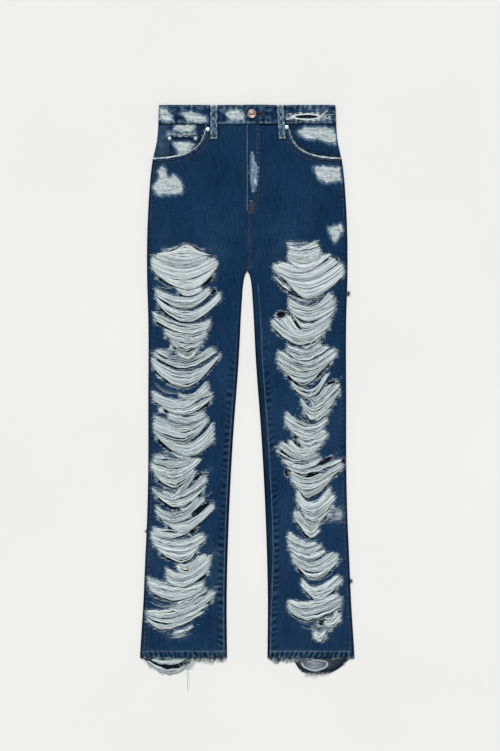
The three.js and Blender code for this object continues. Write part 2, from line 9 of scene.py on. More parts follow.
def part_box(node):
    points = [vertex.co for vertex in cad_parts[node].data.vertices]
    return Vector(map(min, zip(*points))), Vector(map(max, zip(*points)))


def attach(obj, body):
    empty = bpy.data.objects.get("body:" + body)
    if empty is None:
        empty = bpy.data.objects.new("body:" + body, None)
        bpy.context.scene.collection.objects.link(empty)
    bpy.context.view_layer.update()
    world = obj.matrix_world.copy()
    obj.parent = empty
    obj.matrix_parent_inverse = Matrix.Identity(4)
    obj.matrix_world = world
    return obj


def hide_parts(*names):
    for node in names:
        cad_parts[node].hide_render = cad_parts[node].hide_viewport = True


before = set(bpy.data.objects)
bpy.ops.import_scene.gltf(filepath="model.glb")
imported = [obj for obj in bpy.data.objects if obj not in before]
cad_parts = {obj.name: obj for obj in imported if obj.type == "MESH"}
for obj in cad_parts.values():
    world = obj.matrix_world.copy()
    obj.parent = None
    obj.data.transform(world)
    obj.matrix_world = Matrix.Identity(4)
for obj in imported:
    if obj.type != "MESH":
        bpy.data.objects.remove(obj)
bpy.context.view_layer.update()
mm = 0.001
fullTurn = 2 * math.pi
seeded = np.random.default_rng
legSides = dict(right=-1, left=1)  # the wearer's sides; the right one is at negative x
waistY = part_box("waistband_back")[1].y / mm  # the waist edge; "down" is counted from it, in mm


def unit(value):
    return np.clip(value, 0, 1)


def mix(a, b, share):
    return a + (b - a) * share


def smooth(low, high, value):
    share = unit((value - low) / (high - low))
    return share * share * (3 - 2 * share)


# a bump of 1 that falls off to both sides over a width, and one round a place
def hill(away, width):
    return np.exp(-((away / width) ** 2))


def spot(x, down, atX, atDown, wide, tall):
    return np.exp(-(((x - atX) / wide) ** 2) - ((down - atDown) / tall) ** 2)


def blank(x, down, value=0.0):
    return np.full(np.broadcast(x, down).shape, value)


def asPoints(*columns):
    return np.stack(np.broadcast_arrays(*columns), axis=-1)


def place(x, down, z):
    return asPoints(x, waistY - np.asarray(down), z) * mm


# shares from the start of a thread to its end, as one row for all threads
def stepsAlong(count):
    return np.linspace(0, 1, count)[None]


def joined(groups):
    return [np.concatenate(group) for group in zip(*groups)]


# unevenness of the cloth: the size of its bumps in mm, and a seed
mottle = dict(
    tuckWander=(60, 4), tuckStrength=(50, 7), ropeWander=(30, 11), ropeStrength=(24, 13),
    ripEdge=(8, 21), patchEdge=(9, 41), patchTone=(13, 43), mouthTone=(11, 61),
    facing=(16, 5), coinEdge=(9, 19), front=(120, 3), hemRub=(13, 29), hemEdge=(24, 23),
    hemLength=(26, 51), flyEdge=(8, 31), flyWander=(50, 8), flyStreak=(9, 33),
    flyFleck=(7, 35), bandWander=(50, 13), bandBlotch=(17, 71), bandSpeck=(7, 73),
    bandPull=(34, 75), loopWander=(30, 17), loopBlotch=(8, 19), loopCloud=(15, 37),
)


# soft bumps between about -1 and 1
def uneven(x, down, name):
    size, seed = mottle[name]
    draw = seeded(seed)
    total = blank(x, down)
    for _ in range(7):
        turn, phase = draw.uniform(0, fullTurn, 2)
        rate = draw.uniform(0.6, 1.5) * fullTurn / size
        total += np.sin((x * math.cos(turn) + down * math.sin(turn)) * rate + phase)
    return total / 4


# a piece's look gives each mask the weights of the marks that make it up; "plain" is everywhere
def weigh(look, **marks):
    marks["plain"] = 1
    return {mask: unit(sum(weight * marks[mark] for mark, weight in weights.items()))
            for mask, weights in look.items()}


def tint(red, green, blue):
    def linear(part):
        part = part / 255
        return part / 12.92 if part <= 0.04045 else ((part + 0.055) / 1.055) ** 2.4
    return (linear(red), linear(green), linear(blue), 1)


# camera, light and floor

photo = dict(
    pixels=(500, 751),
    perPixel=1.92,  # mm on the cloth
    centre=(5.3, 519.4),  # x and down at the middle of the picture
    distance=3400,
    clothHeight=5,
    sensor=24,
)


def setCamera():
    data = bpy.data.cameras.new("camera")
    data.sensor_fit = "VERTICAL"
    data.sensor_height = photo["sensor"]
    data.lens = photo["sensor"] * photo["distance"] / (photo["pixels"][1] * photo["perPixel"])
    camera = bpy.data.objects.new("camera", data)
    x, down = photo["centre"]
    camera.location = place(x, down, photo["distance"] + photo["clothHeight"])
    bpy.context.collection.objects.link(camera)
    bpy.context.scene.camera = camera


studio = dict(
    sky=0.36,
    key=dict(turn=(-38, -7), spread=24, strength=2.65),  # from the top of the picture, in degrees
    floorSize=14,
    floorDrop=0.2,
    floorColours=(tint(234, 234, 232), tint(240, 240, 239)),
)


def setLight():
    world = bpy.data.worlds.new("studio")
    world.use_nodes = True
    sky = world.node_tree.nodes["Background"]
    sky.inputs["Color"].default_value = (1, 1, 1, 1)
    sky.inputs["Strength"].default_value = studio["sky"]
    bpy.context.scene.world = world
    bpy.context.scene.view_settings.view_transform = "Standard"
    data = bpy.data.lights.new("key", "SUN")
    data.angle = math.radians(studio["key"]["spread"])
    data.energy = studio["key"]["strength"]
    lamp = bpy.data.objects.new("key", data)
    tip, lean = studio["key"]["turn"]
    lamp.rotation_euler = (math.radians(tip), math.radians(lean), 0)
    bpy.context.collection.objects.link(lamp)


setCamera()
setLight()
print("camera and light set")

# outline of the garment: down, half width

sideSeam = (
    (0, 169.5), (36, 171), (67, 173.5), (102, 180.5), (136, 185), (182, 188.5), (250, 191.5),
    (319, 192), (413, 189.5), (566, 189.5), (720, 190), (797, 192), (874, 195.5), (950, 198.7),
    (1062, 205.5), (1100, 207),
)
inseam = (
    (319, 0.15), (322, 3.2), (329, 5.8), (344, 8.6), (374, 11), (490, 17.3), (643, 28.4),
    (797, 36.3), (950, 40.3), (1062, 39.6), (1100, 39.4),
)
cut = dict(
    band=36,  # height of the waistband
    crotch=319,
    hem=1062,
    hemTurn=13,
    hemBlend=90,
    yokeCentre=98,
    yokeSide=64,
)
cloth = dict(
    denim=1.2,
    band=2.4,
    loop=1.6,
    gap=0.3,
    ease=2.6,  # air between front and back
    bandEase=0.9,
    roll=12,  # the front bends down to its seams over this width
    crotchBlend=45,
    tuck=2.4,  # and closes round the back's edge over this one
    proud=0.8,
)
hemLine = cut["hem"] - cut["hemTurn"]  # where the hem is sewn


# a smooth curve through rows of a table
def along(table, down):
    downs, xs = np.array(table, float).T
    slopes = np.gradient(xs, downs)
    i = np.clip(np.searchsorted(downs, down, side="right") - 1, 0, len(downs) - 2)
    span = downs[i + 1] - downs[i]
    t = unit((down - downs[i]) / span)
    rise = xs[i + 1] - xs[i]
    bend = t * (1 - t) * ((1 - t) * (slopes[i] * span - rise) - t * (slopes[i + 1] * span - rise))
    return xs[i] + rise * t + bend


def sideX(down):
    return along(sideSeam, np.asarray(down, float))


def innerX(down):
    down = np.asarray(down, float)
    return np.where(down <= cut["crotch"], cloth["gap"] / 2, along(inseam, down))


# how far a place is from the two seams of its leg
def toSide(x, down):
    return sideX(down) - np.abs(x)


def toInseam(x, down):
    return np.abs(x) - innerX(down)


# heights

backPocket = dict(x=88, top=112, width=140, lowWidth=118, height=150, point=16)
loop = dict(width=14, top=1, length=64, bulge=1.1)
frontLoops = dict(right=(-64, 0), left=(63, 4))  # x, and how far the lower end stands off
backLoops = dict(right=(-118, 0), centre=(0, 0), left=(118, 0))
backPad = dict(flat=22, fall=24)  # the back stays lifted this far past a pocket or loop, then comes down
onFloor = 0.05  # the lowest faces are this far above the rest face


def backLift(x, down):
    pads = [(side * backPocket["x"], backPocket["top"], backPocket["width"], backPocket["height"],
             cloth["denim"] + cloth["gap"]) for side in legSides.values()]
    pads += [(at, 0, loop["width"], loop["length"], cloth["loop"] + cloth["gap"])
             for at, _ in backLoops.values()]
    lift = blank(x, down)
    for atX, top, width, height, rise in pads:
        across = np.maximum(np.abs(x - atX) - width / 2, 0)
        below = np.maximum(np.maximum(top - down, down - top - height), 0)
        away = np.hypot(across, below) - backPad["flat"]
        lift = np.maximum(lift, rise * (1 - smooth(0, backPad["fall"], away)))
    return lift


def floorFace(x, down):
    return blank(x, down, onFloor)


def loopMiddle(at, lean, down):
    return at + lean * down / loop["length"]


# painted shadow: the dark line on the cloth beside a front loop
def besideLoops(x, down):
    total = blank(x, down)
    for at, lean in frontLoops.values():
        aside = np.abs(x - loopMiddle(at, lean, down)) - loop["width"] / 2
        total += 0.75 * hill(aside - 1, 1.8) * smooth(4, -2, down - loop["top"] - loop["length"])
    return total


def roll(away, width):
    bend = 1 - unit(away / width)
    return np.sqrt(1 - bend * bend)


def seamRoll(x, down, width):
    crotch = smooth(cut["crotch"] - cloth["crotchBlend"], cut["crotch"], down)
    return roll(toSide(x, down), width) * mix(1, roll(toInseam(x, down), width), crotch)


# creases: x, down, turn from the cross-wise, length, width, height
frontCreases = (
    (-52, 285, 28, 60, 20, 1.2), (50, 288, -30, 60, 20, 1.2), (-60, 232, 14, 80, 24, 0.8),
    (64, 236, -12, 80, 24, 0.9), (-45, 560, 86, 120, 16, 0.9), (48, 520, 94, 130, 16, 1.0),
    (-62, 900, 95, 110, 18, 0.9), (66, 880, 86, 120, 18, 0.9), (-178, 640, 88, 160, 16, 0.6),
    (176, 620, 92, 160, 16, 0.6),
    (-40, 262, 36, 34, 8, -0.7), (38, 268, -38, 36, 8, -0.7), (-28, 300, 52, 26, 6, -0.6),
    (27, 303, -54, 25, 6, -0.6), (-88, 205, 10, 52, 10, -0.5), (96, 198, -8, 46, 9, -0.5),
    (-34, 430, 80, 70, 7, -0.7), (36, 470, 98, 80, 7, -0.7), (-56, 745, 92, 90, 8, -0.6),
    (60, 700, 88, 85, 8, -0.6), (-66, 1010, 70, 40, 9, -0.6), (84, 1015, 112, 42, 9, -0.6),
    (-150, 1024, 100, 30, 9, 0.6), (178, 1030, 84, 28, 8, 0.5), (-120, 215, 96, 60, 14, 0.4),
    (120, 205, 84, 55, 14, 0.4),
)
backCreases = (
    (-60, 330, 24, 60, 14, 0.5), (58, 336, -26, 62, 14, 0.5), (-110, 372, 10, 60, 12, -0.4),
    (112, 380, -8, 58, 12, -0.4), (-100, 640, 6, 55, 12, 0.5), (104, 652, -9, 60, 12, 0.5),
    (-96, 700, -12, 50, 10, -0.4), (110, 706, 10, 48, 10, -0.4), (-120, 900, 84, 80, 16, 0.4),
    (122, 880, 96, 85, 16, 0.4),
)


def creaseHeight(table, x, down):
    total = blank(x, down)
    for atX, atDown, turn, length, width, height in table:
        c, s = math.cos(math.radians(turn)), math.sin(math.radians(turn))
        ahead = (x - atX) * c + (down - atDown) * s
        aside = (down - atDown) * c - (x - atX) * s
        total += height * spot(ahead, aside, 0, 0, length, width)
    return total


# little tucks that the sewing pulls into the cloth beside a seam: distance in, spacing, height, reach
seamTucks = dict(side=(6, 10, 0.3, 5), inseam=(6.5, 12.5, 0.65, 5.5))
# how far the stitches of the inseams are from the edge; the left ones near it towards the hem
inseamStitch = dict(right=5, left=12, leftBelow=5, nears=(820, 1010))


def stitchInset(x, down):
    left = mix(inseamStitch["left"], inseamStitch["leftBelow"], smooth(*inseamStitch["nears"], down))
    return np.where(x < 0, inseamStitch["right"], left)


def tucks(x, down):
    away, spacing, height, reach = seamTucks["side"]
    wander = 1.6 * uneven(x, down, "tuckWander")
    wave = np.sin(down * fullTurn / spacing + wander)
    total = height * wave * hill(toSide(x, down) - away, reach)
    away, spacing, height, reach = seamTucks["inseam"]
    fromInseam = toInseam(x, down)
    wave = np.sin(down * fullTurn / spacing + 1.3 * wander + 0.12 * fromInseam)
    strength = smooth(40, 260, down - cut["crotch"]) * (0.75 + 0.4 * uneven(x, down, "tuckStrength"))
    return total + height * wave * strength * hill(fromInseam - away - stitchInset(x, down), reach)


hemWave = dict(spacing=9.5, slant=0.35, height=0.45, base=0.8)  # the waves lie on the base height


# height of the roped hem, and how far up or down on its waves a place is
def hemRope(x, down):
    inHem = smooth(-1.5, 1, down - hemLine)
    slant = x + (down - cut["hem"]) * hemWave["slant"] * np.sign(x)
    wave = np.sin(slant * fullTurn / hemWave["spacing"] + 2 * uneven(x, down, "ropeWander"))
    wave = wave * np.clip(0.9 + 0.4 * uneven(x, 0.3 * down, "ropeStrength"), 0.5, 1.2)
    edge = 1 - 0.7 * smooth(-3, 0, down - cut["hem"])
    return inHem * (hemWave["base"] + hemWave["height"] * wave) * edge, inHem * wave


def frontUnder(x, down):
    fold = creaseHeight(frontCreases, x, down)
    swell = cloth["ease"] - cloth["gap"] + fold
    return backLift(x, down) + cloth["denim"] + cloth["gap"] + swell * seamRoll(x, down, cloth["roll"])


def frontTop(x, down):
    return frontUnder(x, down) + cloth["denim"]


def bandUnder(x, down):
    edge = roll(toSide(x, down), cloth["roll"])
    return backLift(x, down) + cloth["band"] + cloth["gap"] + (cloth["bandEase"] - cloth["gap"]) * edge


def facingTop(x, down):
    overBack = backLift(x, down) + 2 * cloth["denim"] + cloth["gap"]
    return np.maximum(overBack, frontUnder(x, down) - cloth["gap"])


def coinTop(x, down):
    return facingTop(x, down) + cloth["gap"] + cloth["denim"]


# rips: the weft that hangs in them, in locks of threads that cling together. Each has its rip's number, its
# left root (x, down at its top, then at its foot), its right root, and the x where it hangs lowest with how
# far down its first and last threads hang there

bandsRight = (
    (1, (-136, 282, -172, 290), (-100, 280, -72, 290), (-116, 268, 284)),
    (1, (-138, 280, -184, 289), (-104, 280, -72, 294), (-125, 280, 309)),
    (1, (-183, 292, -183, 313), (-68, 292, -54, 305), (-121, 309, 334)),
    (1, (-181, 315, -168, 330), (-56, 307, -70, 328), (-110, 335, 355)),
    (1, (-139, 349, -129, 361), (-90, 348, -86, 357), (-114, 355, 367)),
    (2, (-177, 353, -173, 367), (-75, 349, -70, 361), (-114, 369, 388)),
    (2, (-175, 369, -168, 386), (-54, 359, -50, 372), (-112, 397, 416)),
    (3, (-183, 396, -173, 415), (-70, 411, -73, 428), (-118, 422, 438)),
    (3, (-160, 430, -154, 445), (-77, 430, -81, 447), (-114, 440, 457)),
    (3, (-150, 449, -141, 463), (-83, 449, -89, 461), (-114, 459, 474)),
    (3, (-137, 467, -131, 482), (-91, 463, -98, 476), (-114, 476, 488)),
    (4, (-175, 470, -171, 476), (-72, 465, -64, 468), (-120, 488, 493)),
    (4, (-179, 477, -173, 485), (-66, 470, -60, 474), (-118, 497, 505)),
    (4, (-185, 484, -179, 505), (-50, 477, -54, 482), (-116, 513, 540)),
    (5, (-133, 555, -127, 561), (-83, 540, -66, 555), (-112, 559, 566)),
    (5, (-183, 549, -179, 568), (-79, 530, -73, 547), (-123, 566, 582)),
    (5, (-171, 572, -158, 584), (-64, 557, -75, 570), (-118, 580, 593)),
    (6, (-148, 589, -154, 601), (-85, 588, -79, 599), (-118, 591, 612)),
    (6, (-176, 597, -181, 622), (-77, 599, -75, 607), (-121, 612, 643)),
    (6, (-181, 624, -169, 641), (-66, 609, -64, 645), (-114, 652, 674)),
    (7, (-146, 666, -139, 674), (-112, 664, -108, 680), (-123, 670, 680)),
    (7, (-177, 674, -181, 685), (-106, 680, -98, 678), (-133, 680, 695)),
    (7, (-185, 687, -183, 701), (-99, 678, -87, 681), (-133, 697, 714)),
    (7, (-181, 703, -169, 718), (-106, 697, -100, 701), (-137, 714, 732)),
    (8, (-152, 741, -168, 741), (-110, 703, -96, 705), (-137, 745, 751)),
    (8, (-183, 735, -177, 743), (-86, 710, -74, 722), (-140, 750, 757)),
    (8, (-181, 741, -169, 753), (-77, 730, -91, 745), (-133, 757, 770)),
    (8, (-128, 774, -126, 777), (-96, 753, -93, 758), (-118, 774, 780)),
    (9, (-175, 770, -173, 778), (-88, 752, -80, 758), (-135, 785, 792)),
    (9, (-177, 778, -166, 795), (-110, 778, -106, 789), (-135, 793, 799)),
    (9, (-164, 797, -148, 810), (-70, 766, -62, 774), (-117, 799, 818)),
    (10, (-178, 811, -184, 825), (-106, 803, -104, 812), (-133, 816, 829)),
    (10, (-185, 820, -183, 831), (-90, 822, -82, 830), (-129, 835, 847)),
    (10, (-183, 833, -177, 847), (-80, 828, -84, 838), (-127, 847, 858)),
    (10, (-175, 849, -162, 862), (-92, 842, -98, 856), (-121, 858, 876)),
    (11, (-128, 878, -138, 888), (-93, 864, -75, 864), (-114, 883, 899)),
    (11, (-154, 889, -156, 902), (-73, 866, -70, 881), (-121, 899, 912)),
    (11, (-156, 904, -152, 916), (-70, 881, -81, 900), (-121, 912, 924)),
    (12, (-192, 906, -189, 924), (-85, 912, -83, 924), (-125, 924, 933)),
    (12, (-189, 925, -181, 937), (-83, 925, -87, 931), (-133, 933, 950)),
    (13, (-133, 954, -137, 964), (-83, 927, -77, 933), (-121, 950, 958)),
    (13, (-137, 964, -152, 968), (-68, 933, -60, 937), (-118, 958, 968)),
    (13, (-194, 970, -192, 979), (-62, 939, -72, 952), (-144, 968, 983)),
    (13, (-191, 979, -187, 985), (-77, 956, -81, 964), (-141, 983, 993)),
    (13, (-194, 983, -191, 989), (-91, 973, -83, 973), (-158, 998, 1006)),
    (13, (-140, 1011, -136, 1015), (-112, 1000, -102, 1000), (-126, 1008, 1013)),
)
bandsLeft = (
    (1, (80, 270, 80, 276), (128, 263, 138, 271), (101, 275, 279)),
    (1, (80, 276, 78, 294), (140, 273, 138, 292), (109, 280, 303)),
    (1, (78, 294, 84, 303), (138, 294, 132, 303), (109, 301, 315)),
    (2, (68, 302, 56, 308), (151, 288, 161, 286), (107, 307, 321)),
    (2, (51, 305, 51, 317), (163, 292, 174, 301), (113, 321, 336)),
    (2, (53, 319, 67, 330), (178, 303, 186, 313), (119, 334, 351)),
    (2, (71, 332, 90, 355), (186, 315, 184, 328), (120, 351, 369)),
    (2, (53, 330, 55, 334), (76, 349, 82, 357), (67, 342, 346)),
    (3, (82, 372, 78, 382), (157, 359, 165, 369), (124, 388, 394)),
    (3, (78, 384, 82, 392), (165, 371, 170, 380), (120, 396, 403)),
    (3, (82, 394, 86, 399), (170, 382, 165, 394), (117, 405, 415)),
    (3, (86, 401, 92, 409), (167, 394, 161, 403), (113, 421, 432)),
    (4, (80, 400, 64, 413), (146, 402, 158, 407), (105, 432, 447)),
    (4, (59, 411, 51, 409), (159, 407, 161, 415), (103, 434, 442)),
    (4, (49, 411, 46, 417), (159, 417, 155, 428), (101, 442, 449)),
    (4, (46, 419, 53, 430), (153, 430, 142, 444), (99, 449, 459)),
    (4, (105, 461, 109, 467), (142, 445, 134, 455), (115, 463, 468)),
    (5, (80, 461, 74, 470), (136, 457, 144, 461), (113, 470, 480)),
    (5, (74, 472, 82, 478), (144, 463, 159, 465), (109, 480, 490)),
    (5, (65, 472, 57, 476), (161, 467, 170, 468), (113, 493, 501)),
    (5, (57, 478, 59, 488), (170, 470, 172, 480), (113, 501, 511)),
    (5, (59, 492, 63, 503), (167, 484, 157, 495), (111, 515, 524)),
    (5, (65, 505, 82, 520), (153, 499, 140, 511), (109, 526, 536)),
    (6, (84, 530, 88, 540), (149, 518, 159, 513), (122, 547, 559)),
    (7, (119, 559, 124, 563), (151, 540, 165, 536), (130, 561, 570)),
    (7, (120, 563, 124, 572), (167, 538, 180, 536), (130, 572, 584)),
    (7, (103, 563, 105, 572), (180, 544, 174, 556), (128, 584, 595)),
    (7, (105, 574, 113, 588), (170, 559, 165, 572), (124, 595, 605)),
    (7, (126, 600, 130, 604), (157, 582, 161, 588), (136, 601, 605)),
    (8, (76, 589, 72, 603), (151, 599, 155, 607), (119, 616, 624)),
    (8, (72, 605, 76, 616), (151, 611, 144, 620), (119, 624, 634)),
    (8, (78, 618, 94, 634), (144, 622, 153, 628), (119, 634, 643)),
    (8, (97, 639, 99, 649), (153, 630, 155, 637), (119, 643, 655)),
    (8, (101, 651, 109, 659), (153, 639, 142, 649), (120, 655, 662)),
    (9, (84, 643, 78, 649), (138, 649, 142, 653), (107, 660, 668)),
    (9, (71, 647, 61, 651), (138, 657, 132, 662), (105, 668, 676)),
    (9, (61, 653, 63, 659), (128, 664, 136, 670), (105, 676, 682)),
    (9, (57, 662, 59, 666), (132, 670, 140, 674), (97, 682, 687)),
    (9, (69, 680, 71, 687), (142, 676, 140, 684), (107, 687, 699)),
    (10, (76, 691, 80, 699), (172, 680, 182, 682), (111, 701, 707)),
    (10, (84, 701, 82, 712), (182, 684, 186, 695), (119, 716, 726)),
    (10, (82, 714, 88, 724), (184, 695, 174, 701), (119, 728, 739)),
    (10, (90, 726, 97, 735), (170, 703, 167, 710), (119, 739, 753)),
    (11, (97, 737, 94, 755), (157, 733, 161, 745), (122, 764, 774)),
    (11, (94, 756, 101, 770), (161, 745, 170, 756), (124, 774, 785)),
    (11, (103, 774, 107, 783), (166, 756, 160, 768), (126, 785, 795)),
    (11, (109, 787, 111, 793), (161, 774, 151, 787), (128, 797, 804)),
    (12, (97, 776, 88, 783), (148, 790, 140, 800), (124, 806, 812)),
    (12, (88, 785, 94, 797), (138, 802, 140, 805), (120, 814, 822)),
    (12, (96, 799, 103, 808), (134, 814, 140, 818), (120, 822, 829)),
    (13, (82, 820, 76, 833), (119, 839, 140, 841), (113, 841, 851)),
    (13, (76, 835, 82, 852), (142, 843, 140, 852), (115, 851, 860)),
    (13, (82, 852, 88, 858), (144, 854, 151, 858), (119, 860, 872)),
    (14, (84, 858, 86, 866), (153, 862, 168, 858), (124, 877, 885)),
    (14, (86, 868, 88, 876), (170, 860, 174, 870), (126, 885, 893)),
    (14, (88, 877, 99, 887), (174, 872, 172, 879), (128, 893, 906)),
    (15, (107, 910, 103, 922), (167, 904, 178, 904), (130, 927, 935)),
    (15, (105, 924, 111, 931), (180, 906, 182, 918), (132, 933, 941)),
    (15, (113, 933, 122, 941), (178, 920, 167, 929), (136, 941, 950)),
    (16, (82, 950, 78, 954), (167, 939, 178, 943), (117, 954, 966)),
    (16, (78, 956, 78, 966), (180, 945, 182, 952), (117, 966, 977)),
    (16, (80, 968, 86, 975), (182, 954, 178, 964), (119, 975, 987)),
    (17, (149, 983, 153, 989), (168, 970, 176, 973), (161, 983, 991)),
    (17, (147, 991, 151, 1002), (178, 975, 180, 991), (159, 991, 1002)),
    (17, (130, 1008, 126, 1021), (152, 1006, 148, 1018), (140, 1012, 1029)),
)
legLocks = dict(right=bandsRight, left=bandsLeft)
ripShape = dict(
    sag=1.8,
    edge=4,  # the opening ends this far inside the roots
    above=-2.0,
    below=2.4,
    ragged=0.8,
    near=(16, 70),  # a lock matters this far across and down from it
    far=-60.0,
)

# holes where the threads part wide: x, down, half length, half height, slope
holes = (
    (-95, 714, 9, 5, -0.55), (-90, 778, 18, 8, -0.65), (-92, 947, 16, 3.4, -0.6), (-168, 994, 11, 3.2, 0.15),
    (-76, 476, 9, 4, -0.6), (-168, 484, 9, 3.4, 0.5), (-65, 359, 6, 5, -0.3), (65, 403, 9, 6, 0.0),
    (168, 295, 6, 3.4, 0.4), (161, 535, 10, 4, -0.4), (142, 551, 18, 3.4, -0.7), (97, 653, 8, 7, 0.3),
    (70, 669, 8, 3, 0.7), (77, 706, 5, 7, 0.2), (128, 712, 18, 5, -0.15), (149, 684, 13, 5, -0.5),
    (185, 686, 4, 8, 0.0), (165, 887, 8, 3, -0.8), (145, 993, 9, 5, -0.2), (-142, 772, 15, 4.5, 0.25),
    (-104, 819, 6, 4, -0.6), (88, 416, 5, 6, 1.5), (101, 427, 9, 3.2, 0.5), (124, 380, 13, 3.2, -0.6),
    (88, 364, 12, 3, 0.5),
)


# a point at a share of the way across, on the thread at a depth between the first and the last
def hangAt(rip, share, depth):
    (leftX0, leftDown0, leftX1, leftDown1), (rightX0, rightDown0, rightX1, rightDown1), low = rip
    leftX, leftDown = mix(leftX0, leftX1, depth), mix(leftDown0, leftDown1, depth)
    rightX, rightDown = mix(rightX0, rightX1, depth), mix(rightDown0, rightDown1, depth)
    lowest = (low[0] - leftX) / (rightX - leftX)
    drop = mix(low[1], low[2], depth) - mix(leftDown, rightDown, lowest)
    away = np.where(share < lowest, (lowest - share) / lowest, (share - lowest) / (1 - lowest))
    fall = drop * (1 - unit(away) ** ripShape["sag"])
    return mix(leftX, rightX, share), mix(leftDown, rightDown, share) + fall


# how far a place is inside the locks, how far inside the opening behind them, in mm (negative outside),
# and how much it lies in the shade of their lower edges
def nearLocks(locks, x, down):
    inside, opened = blank(x, down, ripShape["far"]), blank(x, down, ripShape["far"])
    under = blank(x, down)
    beside, above = ripShape["near"]
    for _, *lock in locks:
        left, right, low = lock
        near = (x > min(left[0], left[2]) - beside) & (x < max(right[0], right[2]) + beside)
        near &= np.abs(down - low[2]) < above
        leftX, rightX = (left[0] + left[2]) / 2, (right[0] + right[2]) / 2
        share = (x[near] - leftX) / (rightX - leftX)
        across = np.minimum(share, 1 - share) * (rightX - leftX)
        upper, lower = (hangAt(lock, np.clip(share, 0.02, 0.98), depth)[1] for depth in (0.0, 1.0))
        fromUpper, toLower = down[near] - upper, lower - down[near]
        inside[near] = np.maximum(inside[near], np.minimum(across, np.minimum(fromUpper, toLower)))
        through = np.minimum(fromUpper + ripShape["above"], toLower + ripShape["below"])
        through = np.minimum(across - ripShape["edge"], through)
        opened[near] = np.maximum(opened[near], through)
        shadow = hill(-toLower - 1.5, 2.4) * smooth(-1, 6, across)
        under[near] = np.maximum(under[near], shadow)
    for atX, atDown, half, tall, slope in holes:
        ring = np.hypot((x - atX) / half, (down - atDown - slope * (x - atX)) / tall)
        opened = np.maximum(opened, np.maximum((1 - ring) * tall, ripShape["far"]))
    return inside, opened + ripShape["ragged"] * uneven(x, down, "ripEdge"), under


# places that are rubbed but not through: x, down, half width, half height, strength
hazes = (
    (-146, 543, 36, 9, 0.3), (-146, 735, 26, 8, 0.2), (-168, 587, 16, 8, 0.6), (-162, 668, 14, 8, 0.6),
    (-170, 522, 10, 6, 0.6),
    (-164, 956, 18, 7, 0.15), (-129, 1020, 30, 8, 0.6), (-158, 275, 16, 7, 0.25), (-75, 279, 8, 8, 0.3),
    (-154, 472, 18, 7, 0.7), (-70, 700, 10, 10, 0.5), (-60, 860, 12, 10, 0.4), (174, 787, 15, 17, 1.0),
    (122, 1000, 26, 8, 0.3), (138, 912, 22, 11, 0.3), (107, 372, 26, 10, 0.35), (107, 597, 10, 12, 0.3),
    (136, 532, 16, 12, 0.2), (101, 264, 26, 6, 0.8), (146, 290, 10, 8, 0.6), (164, 870, 10, 10, 0.5),
    (60, 300, 14, 8, 0.15), (84, 508, 10, 8, 0.4), (150, 1026, 20, 8, 0.25), (161, 1010, 6, 6, 0.6),
)


def haze(table, x, down):
    return sum(strength * spot(x, down, *where) for *where, strength in table)


# single threads that cross rubbed places: left x, down, right x, down, sag
looseRight = (
    (-170, 340, -140, 352, 4), (-178, 346, -150, 350, 3), (-176, 538, -130, 548, 6),
    (-168, 546, -124, 552, 5), (-180, 532, -140, 552, 3), (-160, 662, -120, 668, 6),
    (-170, 668, -130, 672, 5), (-176, 728, -130, 738, 5), (-170, 735, -120, 742, 6),
    (-186, 950, -140, 958, 5), (-176, 958, -132, 962, 4), (-160, 1012, -104, 1004, 10),
    (-150, 1022, -112, 1014, 6), (-176, 470, -140, 478, 4), (-98, 748, -70, 740, 6),
)
looseLeft = (
    (84, 362, 150, 356, 14), (90, 358, 140, 366, 10), (86, 372, 128, 384, 6), (110, 388, 150, 362, 4),
    (96, 352, 118, 384, 2), (100, 586, 126, 604, 4), (96, 594, 120, 610, 4), (112, 580, 140, 612, 2),
    (150, 776, 186, 770, 4), (156, 790, 186, 786, 3), (160, 800, 184, 778, 3), (146, 800, 182, 792, 4),
    (104, 836, 134, 838, 6), (100, 866, 134, 870, 6), (100, 992, 146, 990, 8), (108, 1000, 150, 998, 6),
    (96, 986, 140, 980, 8), (56, 322, 80, 352, 2), (88, 528, 150, 516, 10), (120, 908, 166, 900, 6),
)
legLoose = dict(right=looseRight, left=looseLeft)

# pocket mouth

mouth = dict(x=79, bend=(82, 80), scoop=(106, 101), sideDown=102.5, underlap=8, shadow=7)


def mouthLine(count, start=0.0):
    t = np.linspace(start, 1, count)
    corners = ((mouth["x"], cut["band"]), mouth["bend"], mouth["scoop"],
               (float(sideX(mouth["sideDown"])), mouth["sideDown"]))
    weights = ((1 - t) ** 3, 3 * t * (1 - t) ** 2, 3 * t * t * (1 - t), t ** 3)
    return [sum(weight * corner[i] for weight, corner in zip(weights, corners)) for i in (0, 1)]


# positive where the front panel is left open
def insideMouth(x, down):
    lineX, lineDown = mouthLine(160)
    lowest = np.interp(np.abs(x), lineX, lineDown, left=-200)
    return np.minimum(lowest - down, (np.abs(x) - mouth["x"]) + 30)


# the shadow that the mouth's edge throws on what lies inside it
def mouthShadow(x, down):
    return hill(np.maximum(insideMouth(x, down), 0), mouth["shadow"])


# flat worn patches, where the weft shows: outlines as x, down

